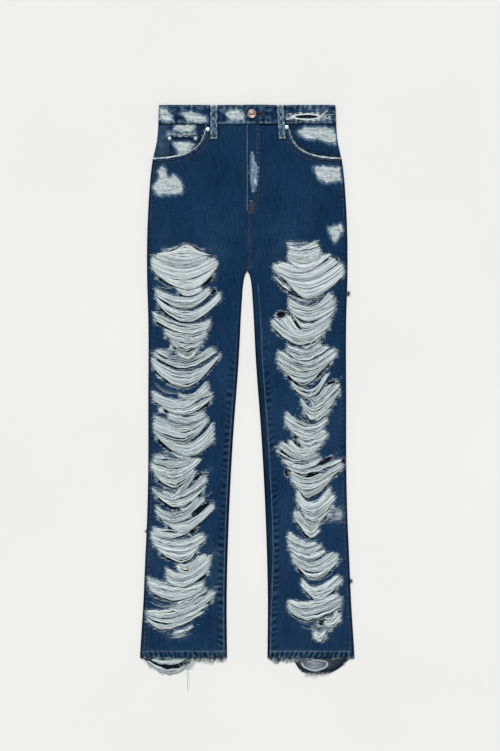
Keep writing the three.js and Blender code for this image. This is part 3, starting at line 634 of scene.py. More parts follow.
patches = dict(
    bandSide=("band", ((-168, 8), (-154, 8), (-143, 28), (-151, 33), (-168, 27))),
    bandRight=("band", ((-127, 14), (-109, 13), (-81, 21), (-78, 32), (-88, 35), (-114, 32))),
    bandFront=("band", ((-44, 13), (-21, 8), (-6, 16), (-6, 29), (-28, 33), (-35, 25))),
    facingRight=("facing", ((-136, 38), (-101, 38), (-103, 51), (-126, 52), (-143, 48))),
    coin=("coin", ((-144, 72), (-113, 71), (-102, 77), (-108, 89), (-125, 98), (-131, 95), (-136, 84))),
    hipRight=("front", ((-163, 117), (-157, 123), (-155, 137), (-147, 138), (-142, 133), (-132, 141),
                        (-124, 154), (-125, 170), (-172, 174), (-181, 158), (-174, 147), (-168, 142),
                        (-171, 127))),
    hipLeft=("front", ((127, 120), (142, 118), (178, 120), (180, 146), (150, 149), (137, 142))),
    facingLeft=("facing", ((96, 52), (110, 43), (150, 43), (165, 46), (170, 60), (169, 75), (155, 72),
                           (134, 65), (116, 66), (105, 60))),
    hipLow=("front", ((155, 236), (166, 233), (180, 229), (184, 240), (178, 251), (168, 265),
                      (161, 253))),
    coinEdge=("facing", ((-152, 54), (-128, 55), (-100, 54), (-98, 58), (-126, 59), (-153, 58))),
)
flyWear = ((6, 90), (12, 92), (15, 108), (21, 120), (21, 139), (15, 168), (9, 166), (5, 132))


# how far a place is inside an outline, in mm; negative outside
def insideOutline(outline, x, down):
    points = np.array(outline, float)
    inside = blank(x, down, False)
    nearest = blank(x, down, 1e3)
    for (ax, ad), (bx, bd) in zip(points, np.roll(points, -1, axis=0)):
        stepX, stepDown = bx - ax, bd - ad
        level = ax + (down - ad) * stepX / (stepDown if stepDown != 0 else 1e-9)
        inside ^= ((ad > down) != (bd > down)) & (x < level)
        t = unit(((x - ax) * stepX + (down - ad) * stepDown) / (stepX ** 2 + stepDown ** 2))
        nearest = np.minimum(nearest, np.hypot(x - ax - t * stepX, down - ad - t * stepDown))
    return np.where(inside, nearest, -nearest)


# how bare the patches on a surface are, and the faded rim round them
def patchWear(surface, x, down):
    within = blank(x, down, ripShape["far"])
    for onto, outline in patches.values():
        if onto == surface:
            within = np.maximum(within, insideOutline(outline, x, down))
    within = within + 2 * uneven(x, down, "patchEdge")
    return dict(bare=0.9 * smooth(-4, 5, within), rim=0.8 * smooth(-8, 1, within))


# shader nodes

def feed(tree, socket, source):
    if isinstance(source, bpy.types.NodeSocket):
        tree.links.new(source, socket)
    else:
        socket.default_value = source


def calc(tree, operation, *sources, limit=False):
    node = tree.nodes.new("ShaderNodeMath")
    node.operation = operation
    node.use_clamp = limit
    for socket, source in zip(node.inputs, sources):
        feed(tree, socket, source)
    return node.outputs[0]


# a value that a texture moves up and down
def sway(tree, texture, weight, value):
    return calc(tree, "MULTIPLY_ADD", calc(tree, "SUBTRACT", texture, 0.5), weight, value)


def blendColour(tree, factor, first, second, way="MIX"):
    node = tree.nodes.new("ShaderNodeMix")
    node.data_type = "RGBA"
    node.blend_type = way
    feed(tree, node.inputs[0], factor)
    feed(tree, node.inputs[6], first)
    feed(tree, node.inputs[7], second)
    return node.outputs[2]


def fadeBetween(tree, source, low, high):
    node = tree.nodes.new("ShaderNodeMapRange")
    node.interpolation_type = "SMOOTHSTEP"
    feed(tree, node.inputs["Value"], source)
    node.inputs["From Min"].default_value = low
    node.inputs["From Max"].default_value = high
    return node.outputs[0]


def stretched(tree, scales, turn=0.0):
    coords = tree.nodes.new("ShaderNodeTexCoord")
    mapping = tree.nodes.new("ShaderNodeMapping")
    mapping.inputs["Scale"].default_value = scales
    mapping.inputs["Rotation"].default_value = (0, 0, turn)
    tree.links.new(coords.outputs["Object"], mapping.inputs["Vector"])
    return mapping.outputs[0]


def grain(tree, scales, detail):
    node = tree.nodes.new("ShaderNodeTexNoise")
    tree.links.new(stretched(tree, scales), node.inputs["Vector"])
    node.inputs["Scale"].default_value = 1
    node.inputs["Detail"].default_value = detail
    node.inputs["Roughness"].default_value = 0.55
    return node.outputs[0]


def startGroup(name, inputs, outputs):
    tree = bpy.data.node_groups.new(name, "ShaderNodeTree")
    for label, kind in inputs:
        tree.interface.new_socket(label, in_out="INPUT", socket_type=kind)
    for label, kind in outputs:
        tree.interface.new_socket(label, in_out="OUTPUT", socket_type=kind)
    return tree, tree.nodes.new("NodeGroupInput").outputs, tree.nodes.new("NodeGroupOutput").inputs


# denim's textures: grain to a metre, detail, and how much each shows in the tone
denimGrain = dict(
    warp=((340, 42, 120), 3, 1.2),
    slub=((820, 90, 300), 2, 0.8),
    weft=((60, 640, 200), 3, 0.4),
    fleck=((700, 520, 500), 2, 0.35),
    cloud=((17, 10, 17), 4, 1.1),
)
# how much they break up each mask, and between which values it then shows
denimMarks = dict(
    Fade=(dict(fleck=0.9), (0.0, 0.75)),
    Fray=(dict(weft=1.5, fleck=0.8), (0.45, 0.95)),
    Wear=(dict(weft=1.1), (0.35, 0.75)),
)
twillRib = dict(grain=1150, slant=62, scale=0.314, distortion=0.6)


def makeDenimGroup():
    colour, number = "NodeSocketColor", "NodeSocketFloat"
    tree, given, out = startGroup(
        "denimCloth",
        (("Deep", colour), ("Bright", colour), ("Washed", colour), ("Bare", colour),
         ("Fade", number), ("Fray", number), ("Wear", number), ("Shade", number)),
        (("Color", colour), ("Height", number)))
    grains = {}
    tone = 0.5
    for name, (scales, detail, weight) in denimGrain.items():
        grains[name] = grain(tree, scales, detail)
        tone = sway(tree, grains[name], weight, tone)

    def broken(label):
        weights, between = denimMarks[label]
        value = given[label]
        for name, weight in weights.items():
            value = sway(tree, grains[name], weight, value)
        return fadeBetween(tree, value, *between)

    base = blendColour(tree, calc(tree, "ADD", tone, 0.0, limit=True), given["Deep"], given["Bright"])
    base = blendColour(tree, calc(tree, "MULTIPLY", given["Fade"], broken("Fade")), base, given["Washed"])
    base = blendColour(tree, calc(tree, "MULTIPLY", broken("Fray"), 0.85), base, given["Bare"])
    base = blendColour(tree, broken("Wear"), base, given["Bare"])
    # the Shade mask darkens the colour: painted shade in troughs, along rolled edges, under edges and inside
    # openings, and on the backs' hems the darker turned-up face
    dark = calc(tree, "MULTIPLY_ADD", given["Shade"], -0.8, 1.0, limit=True)
    feed(tree, out["Color"], blendColour(tree, 1.0, base, dark, "MULTIPLY"))
    twill = tree.nodes.new("ShaderNodeTexWave")
    twill.inputs["Scale"].default_value = twillRib["scale"]
    twill.inputs["Distortion"].default_value = twillRib["distortion"]
    slanted = stretched(tree, (twillRib["grain"],) * 3, math.radians(twillRib["slant"]))
    tree.links.new(slanted, twill.inputs["Vector"])
    rise = calc(tree, "MULTIPLY", grains["slub"], 0.5)
    rise = calc(tree, "MULTIPLY_ADD", twill.outputs["Fac"], 0.35, rise)
    feed(tree, out["Height"], calc(tree, "MULTIPLY_ADD", grains["weft"], 0.5, rise))
    return tree


denimGroup = makeDenimGroup()
clothSheen = {"Roughness": 0.95, "Specular IOR Level": 0.06}


def startMaterial(name, **fixed):
    material = bpy.data.materials.new(name)
    material.use_nodes = True
    shader = material.node_tree.nodes["Principled BSDF"]
    for label, value in fixed.items():
        shader.inputs[label].default_value = value
    return material, material.node_tree, shader


def addBump(tree, shader, height, strength, distance):
    bump = tree.nodes.new("ShaderNodeBump")
    bump.inputs["Strength"].default_value = strength
    bump.inputs["Distance"].default_value = distance
    feed(tree, bump.inputs["Height"], height)
    tree.links.new(bump.outputs[0], shader.inputs["Normal"])


def mask(tree, name):
    node = tree.nodes.new("ShaderNodeAttribute")
    node.attribute_name = name
    return node.outputs["Fac"]


denimColours = dict(
    outside=(tint(6, 33, 62), tint(26, 60, 93), tint(114, 140, 162), tint(212, 223, 223)),
    # the inside's deep and bright colours are darkened into painted shade, as that face is seen mostly in
    # the hollow under the fronts
    inside=(tint(20, 30, 44), tint(44, 56, 74), tint(128, 138, 148), tint(206, 214, 216)),
)


def makeDenim(side):
    material, tree, shader = startMaterial("denim_" + side, **clothSheen)
    twill = tree.nodes.new("ShaderNodeGroup")
    twill.node_tree = denimGroup
    for label, colour in zip(("Deep", "Bright", "Washed", "Bare"), denimColours[side]):
        twill.inputs[label].default_value = colour
    for label in ("Fade", "Fray", "Wear", "Shade"):
        layer = label.lower() if side == "outside" else "inner" + label
        tree.links.new(mask(tree, layer), twill.inputs[label])
    tree.links.new(twill.outputs["Color"], shader.inputs["Base Color"])
    addBump(tree, shader, twill.outputs["Height"], 0.5, 0.5 * mm)
    return material


# thread: its tone runs from buried in the cloth over dull to clear
threadColours = {
    "bared_weft": (tint(60, 86, 118), tint(164, 182, 188), tint(242, 250, 250)),
    "warp_fuzz": (tint(20, 40, 68), tint(48, 74, 106), tint(150, 172, 192)),
    "tan_sewing": (tint(44, 48, 60), tint(84, 76, 74), tint(146, 128, 116)),
    "pale_sewing": (tint(60, 84, 112), tint(98, 118, 140), tint(166, 180, 194)),
}


def makeThread(name):
    material, tree, shader = startMaterial(name, **clothSheen)
    buried, dull, clear = threadColours[name]
    fibre = grain(tree, (900, 900, 900), 2)
    tone = sway(tree, fibre, 0.5, mask(tree, "tone"))
    bared = blendColour(tree, fadeBetween(tree, tone, 0.2, 1.0), dull, clear)
    colour = blendColour(tree, fadeBetween(tree, tone, -0.35, 0.3), buried, bared)
    tree.links.new(colour, shader.inputs["Base Color"])
    addBump(tree, shader, fibre, 0.4, 0.2 * mm)
    return material


metals = dict(
    copper=dict(dull=tint(92, 78, 76), clear=tint(192, 170, 164), rough=(0.25, 0.5)),
    silver=dict(dull=tint(120, 124, 130), clear=tint(244, 247, 250), rough=(0.35, 0.6)),
)


def makeMetal(name):
    look = metals[name]
    material, tree, shader = startMaterial(name + "_metal", Metallic=1.0)
    patina = grain(tree, (260, 260, 260), 4)
    worn = calc(tree, "ADD", calc(tree, "MULTIPLY", patina, 0.7), mask(tree, "tone"), limit=True)
    tree.links.new(blendColour(tree, worn, look["dull"], look["clear"]), shader.inputs["Base Color"])
    low, high = look["rough"]
    tree.links.new(calc(tree, "MULTIPLY_ADD", patina, high - low, low), shader.inputs["Roughness"])
    addBump(tree, shader, grain(tree, (1400, 1400, 1400), 2), 0.2, 0.1 * mm)
    return material


denimOutside, denimInside = makeDenim("outside"), makeDenim("inside")
weftMaterial, warpMaterial, tanThread, paleThread = (makeThread(name) for name in threadColours)
copperMetal, silverMetal = makeMetal("copper"), makeMetal("silver")
print("materials made")


def makeFloor():
    bm = bmesh.new()
    bmesh.ops.create_grid(bm, x_segments=1, y_segments=1, size=studio["floorSize"])
    mesh = bpy.data.meshes.new("floor")
    bm.to_mesh(mesh)
    bm.free()
    mesh.transform(Matrix.Translation((0, 0, -studio["floorDrop"] * mm)))
    floor = bpy.data.objects.new("floor", mesh)
    bpy.context.collection.objects.link(floor)
    material, tree, shader = startMaterial("pale_floor", **{"Roughness": 0.8, "Specular IOR Level": 0.2})
    pale = blendColour(tree, grain(tree, (3, 3, 3), 2), *studio["floorColours"])
    tree.links.new(pale, shader.inputs["Base Color"])
    mesh.materials.append(material)


makeFloor()

# making pieces


def addPiece(name, mesh, materials, nodes=()):
    piece = bpy.data.objects.new(name, mesh)
    for material in materials:
        mesh.materials.append(material)
    bpy.context.collection.objects.link(piece)
    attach(piece, "root")
    if nodes:
        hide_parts(*nodes)
    return piece


def paint(mesh, name, values):
    layer = mesh.attributes.new(name, "FLOAT", "POINT")
    layer.data.foreach_set("value", np.asarray(values, np.float32))


# moves the grid's points nearest a cut onto it, so that the faces lie on one side or the other
def snapToCut(bm, x, down, opening):
    value = opening(x, down)
    ends = np.array([[v.index for v in edge.verts] for edge in bm.edges])
    a, b = ends[(value[ends[:, 0]] > 0) != (value[ends[:, 1]] > 0)].T
    share = value[a] / (value[a] - value[b])
    near, beyond = np.where(share < 0.5, a, b), np.where(share < 0.5, b, a)
    step = np.minimum(share, 1 - share)
    order = np.argsort(-step)
    near, beyond, step = near[order], beyond[order], step[order]
    movedX, movedDown = x.copy(), down.copy()
    movedX[near] = mix(x[near], x[beyond], step)
    movedDown[near] = mix(down[near], down[beyond], step)
    value[near] = 0
    return movedX, movedDown, value


# a sheet of cloth: plan gives each grid point its place, height its outer face
def layCloth(name, node, grid, plan, height, thick, masks, opening=None, faceDown=False):
    columns, rows = grid
    bm = bmesh.new()
    bmesh.ops.create_grid(bm, x_segments=columns, y_segments=rows, size=0.5)
    bm.verts.index_update()
    flat = np.array([v.co for v in bm.verts])
    column = np.rint((flat[:, 0] + 0.5) * columns).astype(int)
    row = np.rint((0.5 - flat[:, 1]) * rows).astype(int)
    x, down = plan(column, row)
    doomed = []
    if opening:
        x, down, value = snapToCut(bm, x, down, opening)
        doomed = [f for f in bm.faces if sum(value[v.index] for v in f.verts) > 1e-6]
    spots = place(x, down, height(x, down))
    for v in bm.verts:
        v.co = spots[v.index]
    bmesh.ops.delete(bm, geom=doomed, context="FACES")
    bmesh.ops.remove_doubles(bm, verts=bm.verts[:], dist=0.02 * mm)
    if faceDown:
        bmesh.ops.reverse_faces(bm, faces=bm.faces[:])
    for f in bm.faces:
        f.smooth = True
    mesh = bpy.data.meshes.new(name)
    bm.to_mesh(mesh)
    bm.free()
    points = np.array([v.co for v in mesh.vertices]) / mm
    for label, values in masks(points[:, 0], waistY - points[:, 1]).items():
        paint(mesh, label, values)
    piece = addPiece(name, mesh, (denimOutside, denimInside), (node,))
    wall = piece.modifiers.new("wall", "SOLIDIFY")
    wall.thickness = thick * mm
    wall.offset = -1
    wall.material_offset = 1


edgeSteps = np.array([0, 0.3, 0.9, 1.9, 3.4, 5.6, 8.6])


# columns across a panel, closer at its edges
def spread(column, columns, left, right):
    last = len(edgeSteps) - 1
    middle = np.interp(column, [last, columns - last], [0, 1])
    x = left + edgeSteps[-1] + middle * (right - left - 2 * edgeSteps[-1])
    x = np.where(column < last, left + edgeSteps[np.minimum(column, last)], x)
    return np.where(column > columns - last, right - edgeSteps[np.minimum(columns - column, last)], x)


# tubes along many paths at once, each a row of x, down, z, as one mesh
def addThreads(name, paths, radii, tones, material, nodes=(), sides=3):
    count, steps = paths.shape[:2]
    points = place(*np.moveaxis(paths, -1, 0))
    ahead = np.gradient(points, axis=1)
    ahead /= np.linalg.norm(ahead, axis=-1, keepdims=True) + 1e-12
    across = np.cross(ahead, (0, 0.02, 1))
    across /= np.linalg.norm(across, axis=-1, keepdims=True) + 1e-12
    above = np.cross(across, ahead)
    turn = np.arange(sides) * fullTurn / sides + math.pi / 4
    ring = across[:, :, None] * np.cos(turn)[:, None] + above[:, :, None] * np.sin(turn)[:, None]
    spots = points[:, :, None] + ring * (radii * mm)[:, :, None, None]
    index = np.arange(count * steps * sides).reshape(count, steps, sides)
    beside = np.roll(index, -1, axis=2)
    walls = np.stack([index[:, :-1], index[:, 1:], beside[:, 1:], beside[:, :-1]], axis=-1)
    faces = walls.reshape(-1, 4).tolist() + index[:, 0].tolist() + index[:, -1, ::-1].tolist()
    mesh = bpy.data.meshes.new(name)
    mesh.from_pydata(spots.reshape(-1, 3).tolist(), [], faces)
    mesh.polygons.foreach_set("use_smooth", np.ones(len(faces), bool))
    tones = np.broadcast_to(np.reshape(tones, (count, -1)), (count, steps))
    paint(mesh, "tone", np.repeat(tones, sides))
    addPiece(name, mesh, (material,), nodes)


fuzz = dict(perLock=34, bluePerLock=23, length=(1.5, 6), radius=0.17)


# short fibres that lie every way round given spots
def scatter(name, x, down, rise, surface, lengths, tones, material, draw):
    each = (len(x), 1)
    u = stepsAlong(3)
    bend = draw.uniform(0, fullTurn, each) + draw.normal(0, 0.8, each) * u
    reach = draw.uniform(*lengths, each) * u
    atX, atDown = x[:, None] + np.cos(bend) * reach, down[:, None] + np.sin(bend) * reach
    z = surface(atX, atDown) + np.reshape(rise, (-1, 1)) + draw.uniform(0, 1.2, each) * u
    radii = fuzz["radius"] * mix(1.2, 0.6, u) * np.ones(each)
    addThreads(name, asPoints(atX, atDown, z), radii, tones, material)


# columns and rows of the pieces' grids, and the height of the edges that close round the back's
grids = dict(
    back=(42, 190), yoke=(42, 16), backPocket=(36, 38), facing=(40, 26), coin=(40, 30),
    front=(80, 440), fly=(16, 90), bandBack=(150, 14), band=(100, 22), loop=(12, 34),
)
closedEdge = dict(front=0.85, facing=0.95)

# backs, yokes and what is sewn on them, with their outer faces on the floor's side

# where the back hems hang lower: from x, to x, how far, how even the two ends are and how square
hemHang = dict(right=(-200, -102, 27, 1.0, 2.2), left=(90, 197, 32, 0.75, 2.8))
yokeLevel = dict(above=60.0, below=100.0)  # where the widths are taken beside the yokes' seams
backLook = dict(
    fade=dict(seat=0.22, knee=0.12, ridge=0.2, hem=0.2, folded=-1),
    shade=dict(besideRidge=0.2, folded=0.3),
    fray=dict(rubbed=0.8),
    innerFade=dict(hem=0.2, showing=0.7, folded=-1),
    # painted shade on the inner face: in the hollow of the right hem and everywhere under the fronts
    innerShade=dict(folded=0.3, hollow=0.9, covered=0.75),
    innerFray=dict(rubbed=0.8, showing=0.45),
)
backSpots = dict(seat=(92, 300, 60, 90), knee=(105, 660, 55, 130))  # x, down, width, height
backPocketLook = dict(fade=dict(plain=0.1, edge=0.4))


def edgesOf(side, down):
    inner, outer = innerX(down), sideX(down)
    return (-outer, -inner) if side < 0 else (inner, outer)


def hemFall(leg, x):
    start, end, drop, even, square = hemHang[leg]
    share = unit((x - start) / (end - start)) ** even
    return drop * (1 - np.abs(2 * share - 1) ** square)


def yokeSeam(x):
    return cut["yokeCentre"] - (cut["yokeCentre"] - cut["yokeSide"]) * np.abs(x) / sideX(cut["yokeSide"])


def backFace(x, down):
    settle = smooth(0, 14, toSide(x, down))
    return backLift(x, down) + np.maximum(creaseHeight(backCreases, x, down), 0) * settle + onFloor


def backMasks(x, down):
    aside, fromSide, pastHem = np.abs(x), toSide(x, down), down - cut["hem"]
    fromEdge = np.where(x < 0, hemFall("right", x), hemFall("left", x)) - pastHem
    hem = smooth(-26, 0, pastHem)
    return weigh(
        backLook, hem=hem, seat=spot(aside, down, *backSpots["seat"]),
        knee=spot(aside, down, *backSpots["knee"]),
        ridge=hill(fromSide, 4) + hill(toInseam(x, down), 4), besideRidge=hill(fromSide - 9, 4),
        folded=smooth(9, 5, fromEdge) * hem * (x > 0),
        rubbed=smooth(6, 2, fromEdge) * hem * (x < 0), hollow=smooth(-4, 2, pastHem) * (x < -100),
        covered=1 - smooth(-40, -8, pastHem), showing=hill(x - 130, 24) * smooth(-2, 6, pastHem))


def makeBack(leg):
    side = legSides[leg]
    columns, rows = grids["back"]

    def plan(column, row):
        start = yokeSeam(mix(*edgesOf(side, yokeLevel["below"]), column / columns)) + cloth["gap"] / 2
        down = mix(start, cut["hem"], row / rows)
        x = spread(column, columns, *edgesOf(side, down))
        return x, down + hemFall(leg, x) * smooth(-cut["hemBlend"], 0, down - cut["hem"])

    layCloth("back_panel_" + leg, "back_" + leg, grids["back"], plan, backFace,
             cloth["denim"], backMasks, faceDown=True)


def makeYoke(leg):
    side = legSides[leg]
    columns, rows = grids["yoke"]

    def plan(column, row):
        x = spread(column, columns, *edgesOf(side, np.full(column.shape, yokeLevel["above"])))
        down = mix(cut["band"] + cloth["gap"], yokeSeam(x) - cloth["gap"] / 2, row / rows)
        return spread(column, columns, *edgesOf(side, down)), down

    layCloth("yoke_panel_" + leg, "yoke_" + leg, grids["yoke"], plan, backFace,
             cloth["denim"], backMasks, faceDown=True)


def makeBackPocket(leg):
    size = backPocket
    middle = legSides[leg] * size["x"]
    columns, rows = grids["backPocket"]

    def plan(column, row):
        across = column / columns - 0.5
        drop = (size["height"] - 2 * size["point"] * np.abs(across)) * row / rows
        width = mix(size["width"], size["lowWidth"], unit(drop / (size["height"] - size["point"])))
        return middle + across * width, size["top"] + drop

    def masks(x, down):
        fromEdge = np.minimum(size["width"] / 2 - np.abs(x - middle), down - size["top"])
        return weigh(backPocketLook, edge=hill(fromEdge, 4))

    layCloth("back_pocket_patch_" + leg, "back_pocket_" + leg, grids["backPocket"], plan, floorFace,
             cloth["denim"], masks, faceDown=True)


for leg in legSides:
    makeBack(leg)
    makeYoke(leg)
    makeBackPocket(leg)
print("backs, yokes and back pockets laid")


# pocket facings and the coin pocket

coin = dict(outer=154, inner=93, top=60, underlap=2, hole=(-110.5, 78, 3, 2.6))
facingLook = dict(
    wear=dict(bare=1),
    # painted shade: the facing is darkened all over and above the coin pocket, as it lies inside the pocket
    # mouth
    shade=dict(plain=0.2, shadow=0.55, aboveCoin=0.495, rim=-0.3, beyondCoin=-0.2),
    fade=dict(plain=0.1, mottle=0.12, rim=0.75, beyondCoin=0.22),
)
coinLook = dict(
    wear=dict(bare=1, hole=-1.2),
    fray=dict(edge=0.6, roughEdge=0.5),
    # painted shade: the coin pocket is darkened all over inside the pocket mouth, under its top edge and in
    # its hole
    shade=dict(plain=0.2, belowEdge=0.5, hole=0.9, shadow=0.45, rim=-0.3),
    fade=dict(plain=0.08, rim=0.75, side=0.4),
)


def makeFacing(leg):
    side = legSides[leg]
    columns, rows = grids["facing"]

    def plan(column, row):
        down = mix(cut["band"] + cloth["gap"], mouth["sideDown"] + mouth["underlap"], row / rows)
        share = (column if side > 0 else columns - column) / columns
        return side * mix(mouth["x"] - mouth["underlap"], sideX(down), share), down

    def opening(x, down):
        return -insideMouth(x, down) - mouth["underlap"]

    def masks(x, down):
        overCoin = smooth(-coin["outer"] - 2, -coin["outer"] + 6, x) * (side < 0)
        return weigh(
            facingLook, **patchWear("facing", x, down), shadow=mouthShadow(x, down),
            aboveCoin=hill(down - coin["top"] + 2, 5) * overCoin,
            beyondCoin=smooth(coin["outer"] - 8, coin["outer"], -x),
            mottle=uneven(x, down, "facing"))

    def height(x, down):
        closed = roll(toSide(x, down), cloth["tuck"])
        return mix(backLift(x, down) + closedEdge["facing"], facingTop(x, down), closed)

    layCloth("facing_" + leg, "pocket_facing_" + leg, grids["facing"], plan, height,
             cloth["denim"], masks, opening)


def makeCoinPocket():
    columns, rows = grids["coin"]

    def plan(column, row):
        x = mix(-coin["outer"], -coin["inner"], column / columns)
        return x, mix(coin["top"], mouth["sideDown"] + coin["underlap"], row / rows)

    def opening(x, down):
        return -insideMouth(x, down) - coin["underlap"]

    def masks(x, down):
        edge = hill(down - coin["top"], 2.5)
        return weigh(
            coinLook, **patchWear("coin", x, down), edge=edge,
            roughEdge=edge * uneven(x, down, "coinEdge"), belowEdge=hill(down - coin["top"] - 6, 5),
            hole=spot(x, down, *coin["hole"]), side=hill(x + coin["outer"] - 2, 1.6),
            shadow=mouthShadow(x, down))

    layCloth("coin_pocket_patch", "coin_pocket", grids["coin"], plan, coinTop,
             cloth["denim"], masks, opening)


for leg in legSides:
    makeFacing(leg)
makeCoinPocket()
print("facings and coin pocket laid")


# fronts

frontLook = dict(
    fade=dict(plain=0.1, lowerLeg=0.05, mottle=0.05, rim=0.75, tuckTop=0.35, ridge=0.25, haze=0.3,
              ropeTop=0.22, rubbedHem=0.35, hemSeam=0.22, crease=0.1, byLocks=0.4),
    # painted shade: side and inseam darken where the cloth rolls down to its seams, and the tucks' and the
    # rope's troughs, the cloth beside the mouth, under the band, beside the loops and under the locks' lower
    # edges are darkened too
    shade=dict(side=0.7, inseam=0.6, tuckFoot=2.2, allowance=0.4, ropeFoot=1.2, underBand=0.6,
               byLoops=1, insideMouthEdge=0.35, underLocks=0.75),
    fray=dict(ripEdge=0.6, mouthEdge=0.9, haze=0.75, frayedHem=0.6),
    wear=dict(bare=1),
)


# distances to the side seam and, below the crotch, to the inseam
def toSeams(x, down):
    return toSide(x, down), np.where(down > cut["crotch"], toInseam(x, down), 99)


def frontFace(x, down):
    nearest = np.minimum(*toSeams(x, down))
    full = frontTop(x, down) + tucks(x, down) + hemRope(x, down)[0] * smooth(0, 10, nearest)
    closed = roll(nearest + cloth["proud"], cloth["tuck"])
    return mix(backLift(x, down) + closedEdge["front"], full, closed)


def frontMasks(locks):
    def masks(x, down):
        fromSide, fromInseam = toSeams(x, down)
        inside, opened, under = nearLocks(locks, x, down)
        fromMouth = -insideMouth(x, down)
        pastHem = down - cut["hem"]
        hem = smooth(-3, 2, down - hemLine)
        wave = hemRope(x, down)[1]
        tuck = tucks(x, down)
        fromSewing = fromInseam - stitchInset(x, down)
        belowCrotch = smooth(20, 160, down - cut["crotch"])
        return weigh(
            frontLook, **patchWear("front", x, down), lowerLeg=smooth(480, 900, down),
            mottle=uneven(x, down, "front"), tuckTop=unit(tuck), tuckFoot=unit(-tuck - 0.08),
            ridge=hill(fromSewing, 1.3) * belowCrotch,
            allowance=smooth(0, -3, fromSewing) * belowCrotch, haze=haze(hazes, x, down),
            ropeTop=hem * unit(wave), ropeFoot=hem * unit(-wave),
            rubbedHem=smooth(-0.5, 0.7, uneven(x, down, "hemRub")) * smooth(-9, -2, pastHem),
            frayedHem=smooth(0, 0.7, uneven(x, down, "hemEdge")) * smooth(-3, 0, pastHem),
            hemSeam=hill(down - hemLine, 2.5),
            crease=unit(creaseHeight(frontCreases, x, down) - 0.4), byLocks=smooth(-6, 1, inside),
            underLocks=under, ripEdge=smooth(-11, 0, np.maximum(opened, inside)),
            side=hill(fromSide, 3), inseam=hill(fromInseam, 3),
            underBand=hill(down - cut["band"] - 1.5, 2.2), byLoops=besideLoops(x, down),
            mouthEdge=hill(fromMouth, 2.2), insideMouthEdge=hill(fromMouth - 7, 5))
    return masks


def makeFront(leg, locks):
    side = legSides[leg]
    columns, rows = grids["front"]

    def plan(column, row):
        down = mix(cut["band"] + cloth["gap"], cut["hem"], row / rows)
        left, right = edgesOf(side, down)
        outer = cloth["proud"]
        inner = outer * smooth(0, 10, down - cut["crotch"])
        left, right = (left - outer, right + inner) if side < 0 else (left - inner, right + outer)
        return spread(column, columns, left, right), down

    def opening(x, down):
        return np.maximum(nearLocks(locks, x, down)[1], insideMouth(x, down))

    layCloth("front_panel_" + leg, "front_" + leg, grids["front"], plan, frontFace,
             cloth["denim"], frontMasks(locks), opening)


for leg, locks in legLocks.items():
    makeFront(leg, locks)
print("fronts laid")


# fly, waistband and loops

fly = dict(overlap=1.5, width=26, straight=150, length=206, thick=1.0, pucker=9)
flyLook = dict(
    wear=dict(worn=0.34, wornStreak=0.25),
    fade=dict(plain=0.1, worn=0.85, wornStreak=0.4, edge=0.5, puckerTop=0.2),
    # painted shade along the fly's fold and in the puckers' troughs
    shade=dict(fold=0.35, puckerFoot=0.3),
)


def flyLimit(down):
    bend = unit((down - fly["straight"]) / (fly["length"] - fly["straight"]))
    t = 1 - np.sqrt(1 - bend)
    return fly["width"] - (fly["width"] + fly["overlap"]) * t * t


def flyFace(x, down):
    under = np.maximum(frontTop(x, down), frontTop(-x, down))
    edge = smooth(0, 6, flyLimit(down) - x)
    fold = roll(x + fly["overlap"], 2.5)
    return under + 0.1 + (cloth["denim"] + cloth["gap"]) * edge * fold


def makeFly():
    columns, rows = grids["fly"]

    def plan(column, row):
        down = mix(cut["band"] + cloth["gap"], fly["length"], row / rows)
        return mix(-fly["overlap"], flyLimit(down), column / columns), down

    def masks(x, down):
        worn = smooth(-3, 3, insideOutline(flyWear, x, down) + 2 * uneven(x, down, "flyEdge"))
        streak = uneven(2.2 * x, 0.5 * down, "flyStreak") + 0.6 * uneven(x, down, "flyFleck")
        wave = np.sin(down * fullTurn / fly["pucker"] + uneven(x, down, "flyWander"))
        side = hill(x - 20, 5)
        return weigh(
            flyLook, worn=worn, wornStreak=worn * streak, edge=hill(x + fly["overlap"], 2.2),
            fold=hill(x - 4, 2.5), puckerTop=side * unit(wave), puckerFoot=side * unit(-wave))

    layCloth("fly_panel", "fly", grids["fly"], plan, flyFace, fly["thick"], masks)


band = dict(
    overlap=-5.5,
    underlap=22,
    step=14,  # over twice this length the overlap comes down
    slit=(114, 23, 44, 8),  # x, down, width and height
    edge=3.2,
    seam=4,  # how far its seams are from its edges
    pucker=dict(spacing=11, height=0.34, wander=2.6),
)
button = dict(x=9, down=18, holeEnd=32, bright=0.25)
bandHazes = ((132, 30, 26, 8, 0.5), (130, 9, 30, 7, 0.3))  # in the form of the fronts' hazes
bandLook = dict(
    fade=dict(plain=0.1, puckerTop=0.5, edge=0.25, haze=1, paleBlotch=0.4, rim=0.6, lowerEdge=0.36,
              speckledEdge=0.225),
    # painted shade: in the puckers' troughs, in the buttonhole's slit, along the band's rolled lower edge
    # and beside the loops
    shade=dict(puckerFoot=0.7, hole=0.9, under=0.6, darkBlotch=0.6, rim=-0.4, byLoops=1),
    wear=dict(worn=1),
    fray=dict(slit=0.7, speckledSlit=0.3),
)
backBandLook = dict(fade=dict(plain=0.12, edge=0.25, pucker=0.2), shade=dict(pucker=-0.4))


def overlapLift(x):
    start = band["underlap"] + band["step"]
    return (cloth["band"] + cloth["gap"]) * (1 - smooth(start, start + 2 * band["step"], x))


# the puckers along the waistband's seams, between -1 and 1
def bandWave(x, down):
    wander = band["pucker"]["wander"] * uneven(x, down, "bandWander")
    return np.sin(x * fullTurn / band["pucker"]["spacing"] + wander)


def bandTop(x, down):
    lift = np.where(x > band["overlap"], overlapLift(x), 0)
    seam = hill(down - cut["band"] + band["seam"], 5) + 0.6 * hill(down - band["seam"], 4)
    return bandUnder(x, down) + cloth["band"] + lift + band["pucker"]["height"] * bandWave(x, down) * seam


# 0 in the middle of the slit and 1 at its edge
def slitRing(x, down):
    slitX, slitDown, width, height = band["slit"]
    return np.hypot((x - slitX) / (width / 2), (down - slitDown) / (height / 2))


